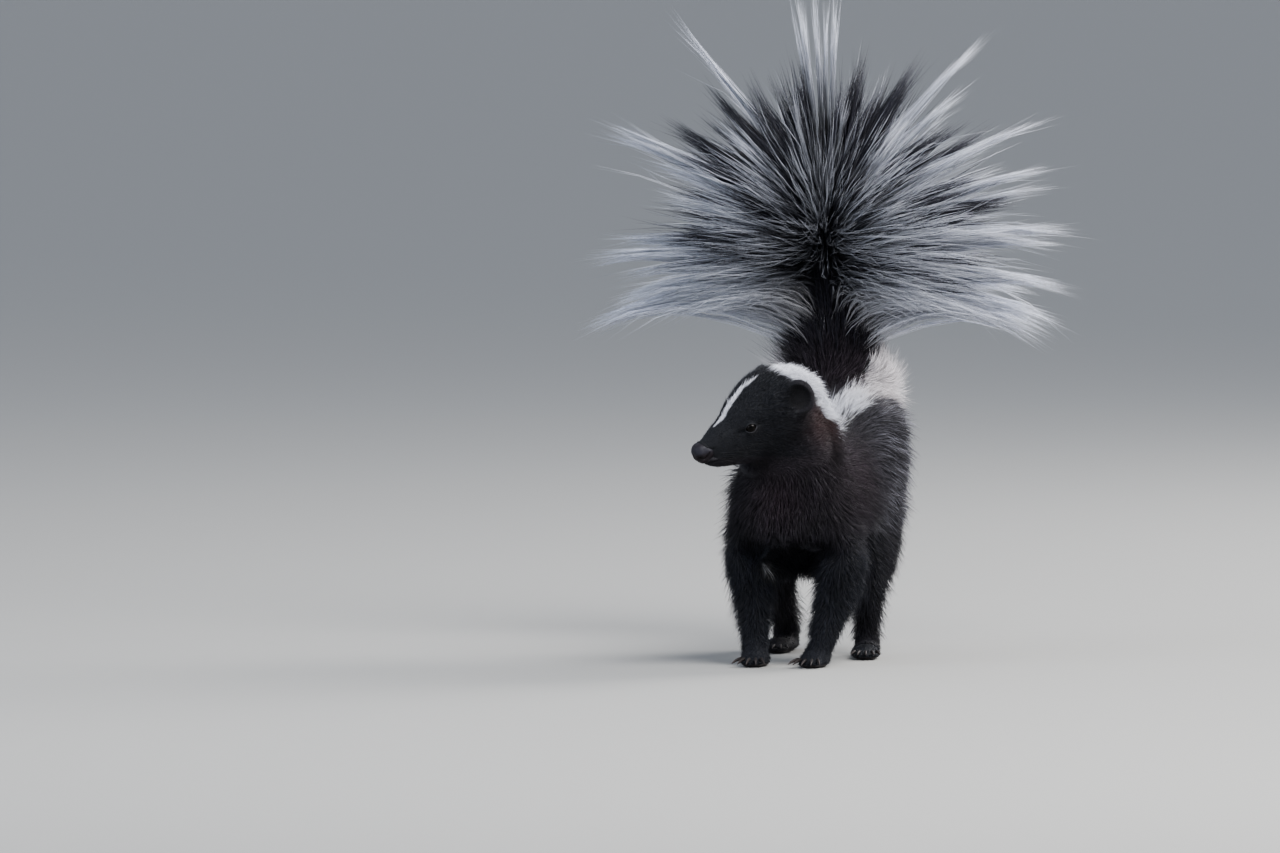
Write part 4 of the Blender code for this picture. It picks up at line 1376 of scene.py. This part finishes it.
class SKUNK_OT_claws(SkunkOperator, bpy.types.Operator):
    """Curved claws, a set for each paw"""

    bl_idname = "skunk.claws"
    bl_label = "Claws"

    def execute(self, context):
        horn = context.scene.skunk_features.horn
        shader = Shader("Claw horn", Specular_IOR_Level=0.3)
        grain = shader.noise(shader.stretched(shader.places(), (1, 0.2, 1)), 1800.0, 3)
        tone = shader.mix(shader.attribute("along"), scaled(horn, 0.45), scaled(horn, 2.4))
        colour = shader.mix(grain * 0.5, tone, shader.tinted(tone, (0.55, 0.52, 0.5)))
        normal = shader.bump(grain, 0.00006)
        shader.drive(Base_Color=colour, Roughness=0.42 + grain * 0.25, Normal=normal)
        for paw in ("forepaw_left", "forepaw_right", "hindpaw_left", "hindpaw_right"):
            nodes = [f"claw_{paw}_{k}" for k in range(1, 6)]
            points, faces, shares = [], [], []
            for node in nodes:
                made, rings, share = self.claw(drawn(mesh_points(frame["nodes"][node].data)))
                faces.append(rings + len(made) * len(points))
                points.append(made)
                shares.append(share)
            points, faces = np.concatenate(points), [np.concatenate(faces)]
            obj = new_piece(f"claws_{paw}", points, faces, shader.material)
            store(obj.data, "along", np.concatenate(shares))
            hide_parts(*nodes)
        return {"FINISHED"}

    def claw(self, solid):
        """A smooth curved claw in a plain one's place: its points, triangles and shares of the way."""
        middle = solid.mean(0)
        _, _, axes = np.linalg.svd(solid - middle)
        along = axes[0] if axes[0][1] < 0 else -axes[0]
        reach = (solid - middle) @ along
        root = solid[reach < reach.min() + 0.6].mean(0)
        tip = solid[reach > reach.max() - 0.4].mean(0)
        rings = sides = 14
        t = np.linspace(0, 1, rings)
        crown = (root + tip) / 2 + np.array((0, 0, 0.13 * np.linalg.norm(tip - root)))
        path = bent(root, crown, tip, t)
        way = unit(np.gradient(path, axis=0))
        wide = unit(np.cross(way, (0, 0, 1)))
        deep = np.cross(wide, way)
        radius = 1.2 * np.interp(t, (0, 0.3, 0.7, 0.93, 1), (1, 0.95, 0.66, 0.3, 0.1))
        turns = circle(sides)[:, None]
        across, up = np.cos(turns) * 0.72, np.sin(turns) * np.where(np.sin(turns) < 0, 0.8, 1.0)
        offset = wide[:, None] * across + deep[:, None] * up
        points = (path[:, None] + offset * radius[:, None, None]).reshape(-1, 3)
        points[:, 2] = np.maximum(points[:, 2], 0.15)
        walls = ring_quads(rings, sides)[:, [0, 1, 2, 0, 2, 3]].reshape(-1, 3)
        fan = np.array([(0, k, k + 1) for k in range(1, sides - 1)])
        faces = np.concatenate([walls, fan[:, ::-1], fan + (rings - 1) * sides])
        return points, faces, np.repeat(t, sides)


class SKUNK_OT_stage(SkunkOperator, bpy.types.Operator):
    """A plain pale floor, soft lights and the camera"""

    bl_idname = "skunk.stage"
    bl_label = "Stage"
    # (name, place, width, power, colour), in metres and watts
    lamps = (
        ("Key", (1.05, -1.1, 1.62), 1.5, 60, (1, 0.985, 0.96)),
        ("Fill", (-1.6, -1.4, 0.9), 1.4, 14, (0.82, 0.9, 1)),
        ("Rim", (1.1, 1.4, 1.4), 1.2, 46, (1, 0.98, 0.95)),
    )

    def execute(self, context):
        settings, scene = context.scene.skunk_stage, context.scene
        self.floor(settings.floor)
        scene.world = bpy.data.worlds.new("Soft studio")
        scene.world.use_nodes = True
        sky = scene.world.node_tree.nodes["Background"].inputs
        sky["Color"].default_value = (0.78, 0.84, 0.95, 1)
        sky["Strength"].default_value = 0.75 * settings.light
        scene.view_settings.look = "AgX - Medium High Contrast"
        for name, at, size, power, colour in self.lamps:
            light = bpy.data.lights.new(name, "AREA")
            light.shape = "DISK"
            light.size = size
            light.energy = power * settings.light
            light.color = colour
            aim(add_object(name, light), at, (0, 0, 0.17))
        self.camera(scene)
        return {"FINISHED"}

    def floor(self, colour):
        """One flat round sheet, so wide that it fills the picture."""
        body = bmesh.new()
        bmesh.ops.create_circle(body, cap_ends=True, segments=96, radius=18)
        mesh = bpy.data.meshes.new("Floor")
        body.to_mesh(mesh)
        body.free()
        shader = Shader("Pale floor", Specular_IOR_Level=0.2)
        grain = shader.noise(shader.places(), 40.0, 5)
        tone = shader.mix(grain, scaled(colour, 0.96), colour)
        mesh.materials.append(shader.drive(Base_Color=tone, Roughness=0.75 + grain * 0.15))
        add_object("Floor", mesh)

    def camera(self, scene):
        """The photograph's view: 12 degrees round from the front and 4.2 above, 768 mm wide, from 10 m."""
        around, above = math.radians(12), math.radians(4.2)
        right = np.array((math.cos(around), math.sin(around), 0))
        level = math.cos(above)
        back = np.array((math.sin(around) * level, -math.cos(around) * level, math.sin(above)))
        up = np.cross(back, right)
        anchor = np.array((0, -60, 0))
        distance, wide, shift, height = 10000, 768, -91.5, 143.7
        data = bpy.data.cameras.new("Camera")
        data.sensor_width = 36
        data.lens = data.sensor_width * distance / wide
        data.clip_end = 100
        camera = add_object("Camera", data)
        aim(camera, placed(anchor + back * distance), placed(anchor + shift * right + height * up))
        scene.camera = camera


OPERATORS = (
    SKUNK_OT_skin,
    SKUNK_OT_coat,
    SKUNK_OT_plume,
    SKUNK_OT_eyes,
    SKUNK_OT_nose,
    SKUNK_OT_whiskers,
    SKUNK_OT_claws,
    SKUNK_OT_stage,
)
SETTINGS = {
    "skunk_skin": SkinSettings,
    "skunk_coat": CoatSettings,
    "skunk_plume": PlumeSettings,
    "skunk_features": FeatureSettings,
    "skunk_stage": StageSettings,
}


class SKUNK_PT_panel(bpy.types.Panel):
    """The skunk's pieces and their settings"""

    bl_idname = "SKUNK_PT_panel"
    bl_label = "Striped Skunk"
    bl_space_type = "VIEW_3D"
    bl_region_type = "UI"
    bl_category = "Skunk"

    def draw(self, context):
        for operator in OPERATORS:
            self.layout.operator(operator.bl_idname)
        for name in SETTINGS:
            box = self.layout.box()
            group = getattr(context.scene, name)
            for key in group.bl_rna.properties.keys():
                if key not in ("rna_type", "name"):
                    box.prop(group, key)


def register():
    for cls in (*SETTINGS.values(), *OPERATORS, SKUNK_PT_panel):
        bpy.utils.register_class(cls)
    for name, group in SETTINGS.items():
        setattr(bpy.types.Scene, name, PointerProperty(type=group))


def unregister():
    for name in SETTINGS:
        delattr(bpy.types.Scene, name)
    for cls in reversed((*SETTINGS.values(), *OPERATORS, SKUNK_PT_panel)):
        bpy.utils.unregister_class(cls)


def main():
    for obj in list(bpy.data.objects):
        if obj.name in ("Cube", "Light", "Camera"):
            bpy.data.objects.remove(obj)
    register()
    for step in OPERATORS:
        group, name = step.bl_idname.split(".")
        getattr(getattr(bpy.ops, group), name)()


if __name__ == "__main__":
    main()
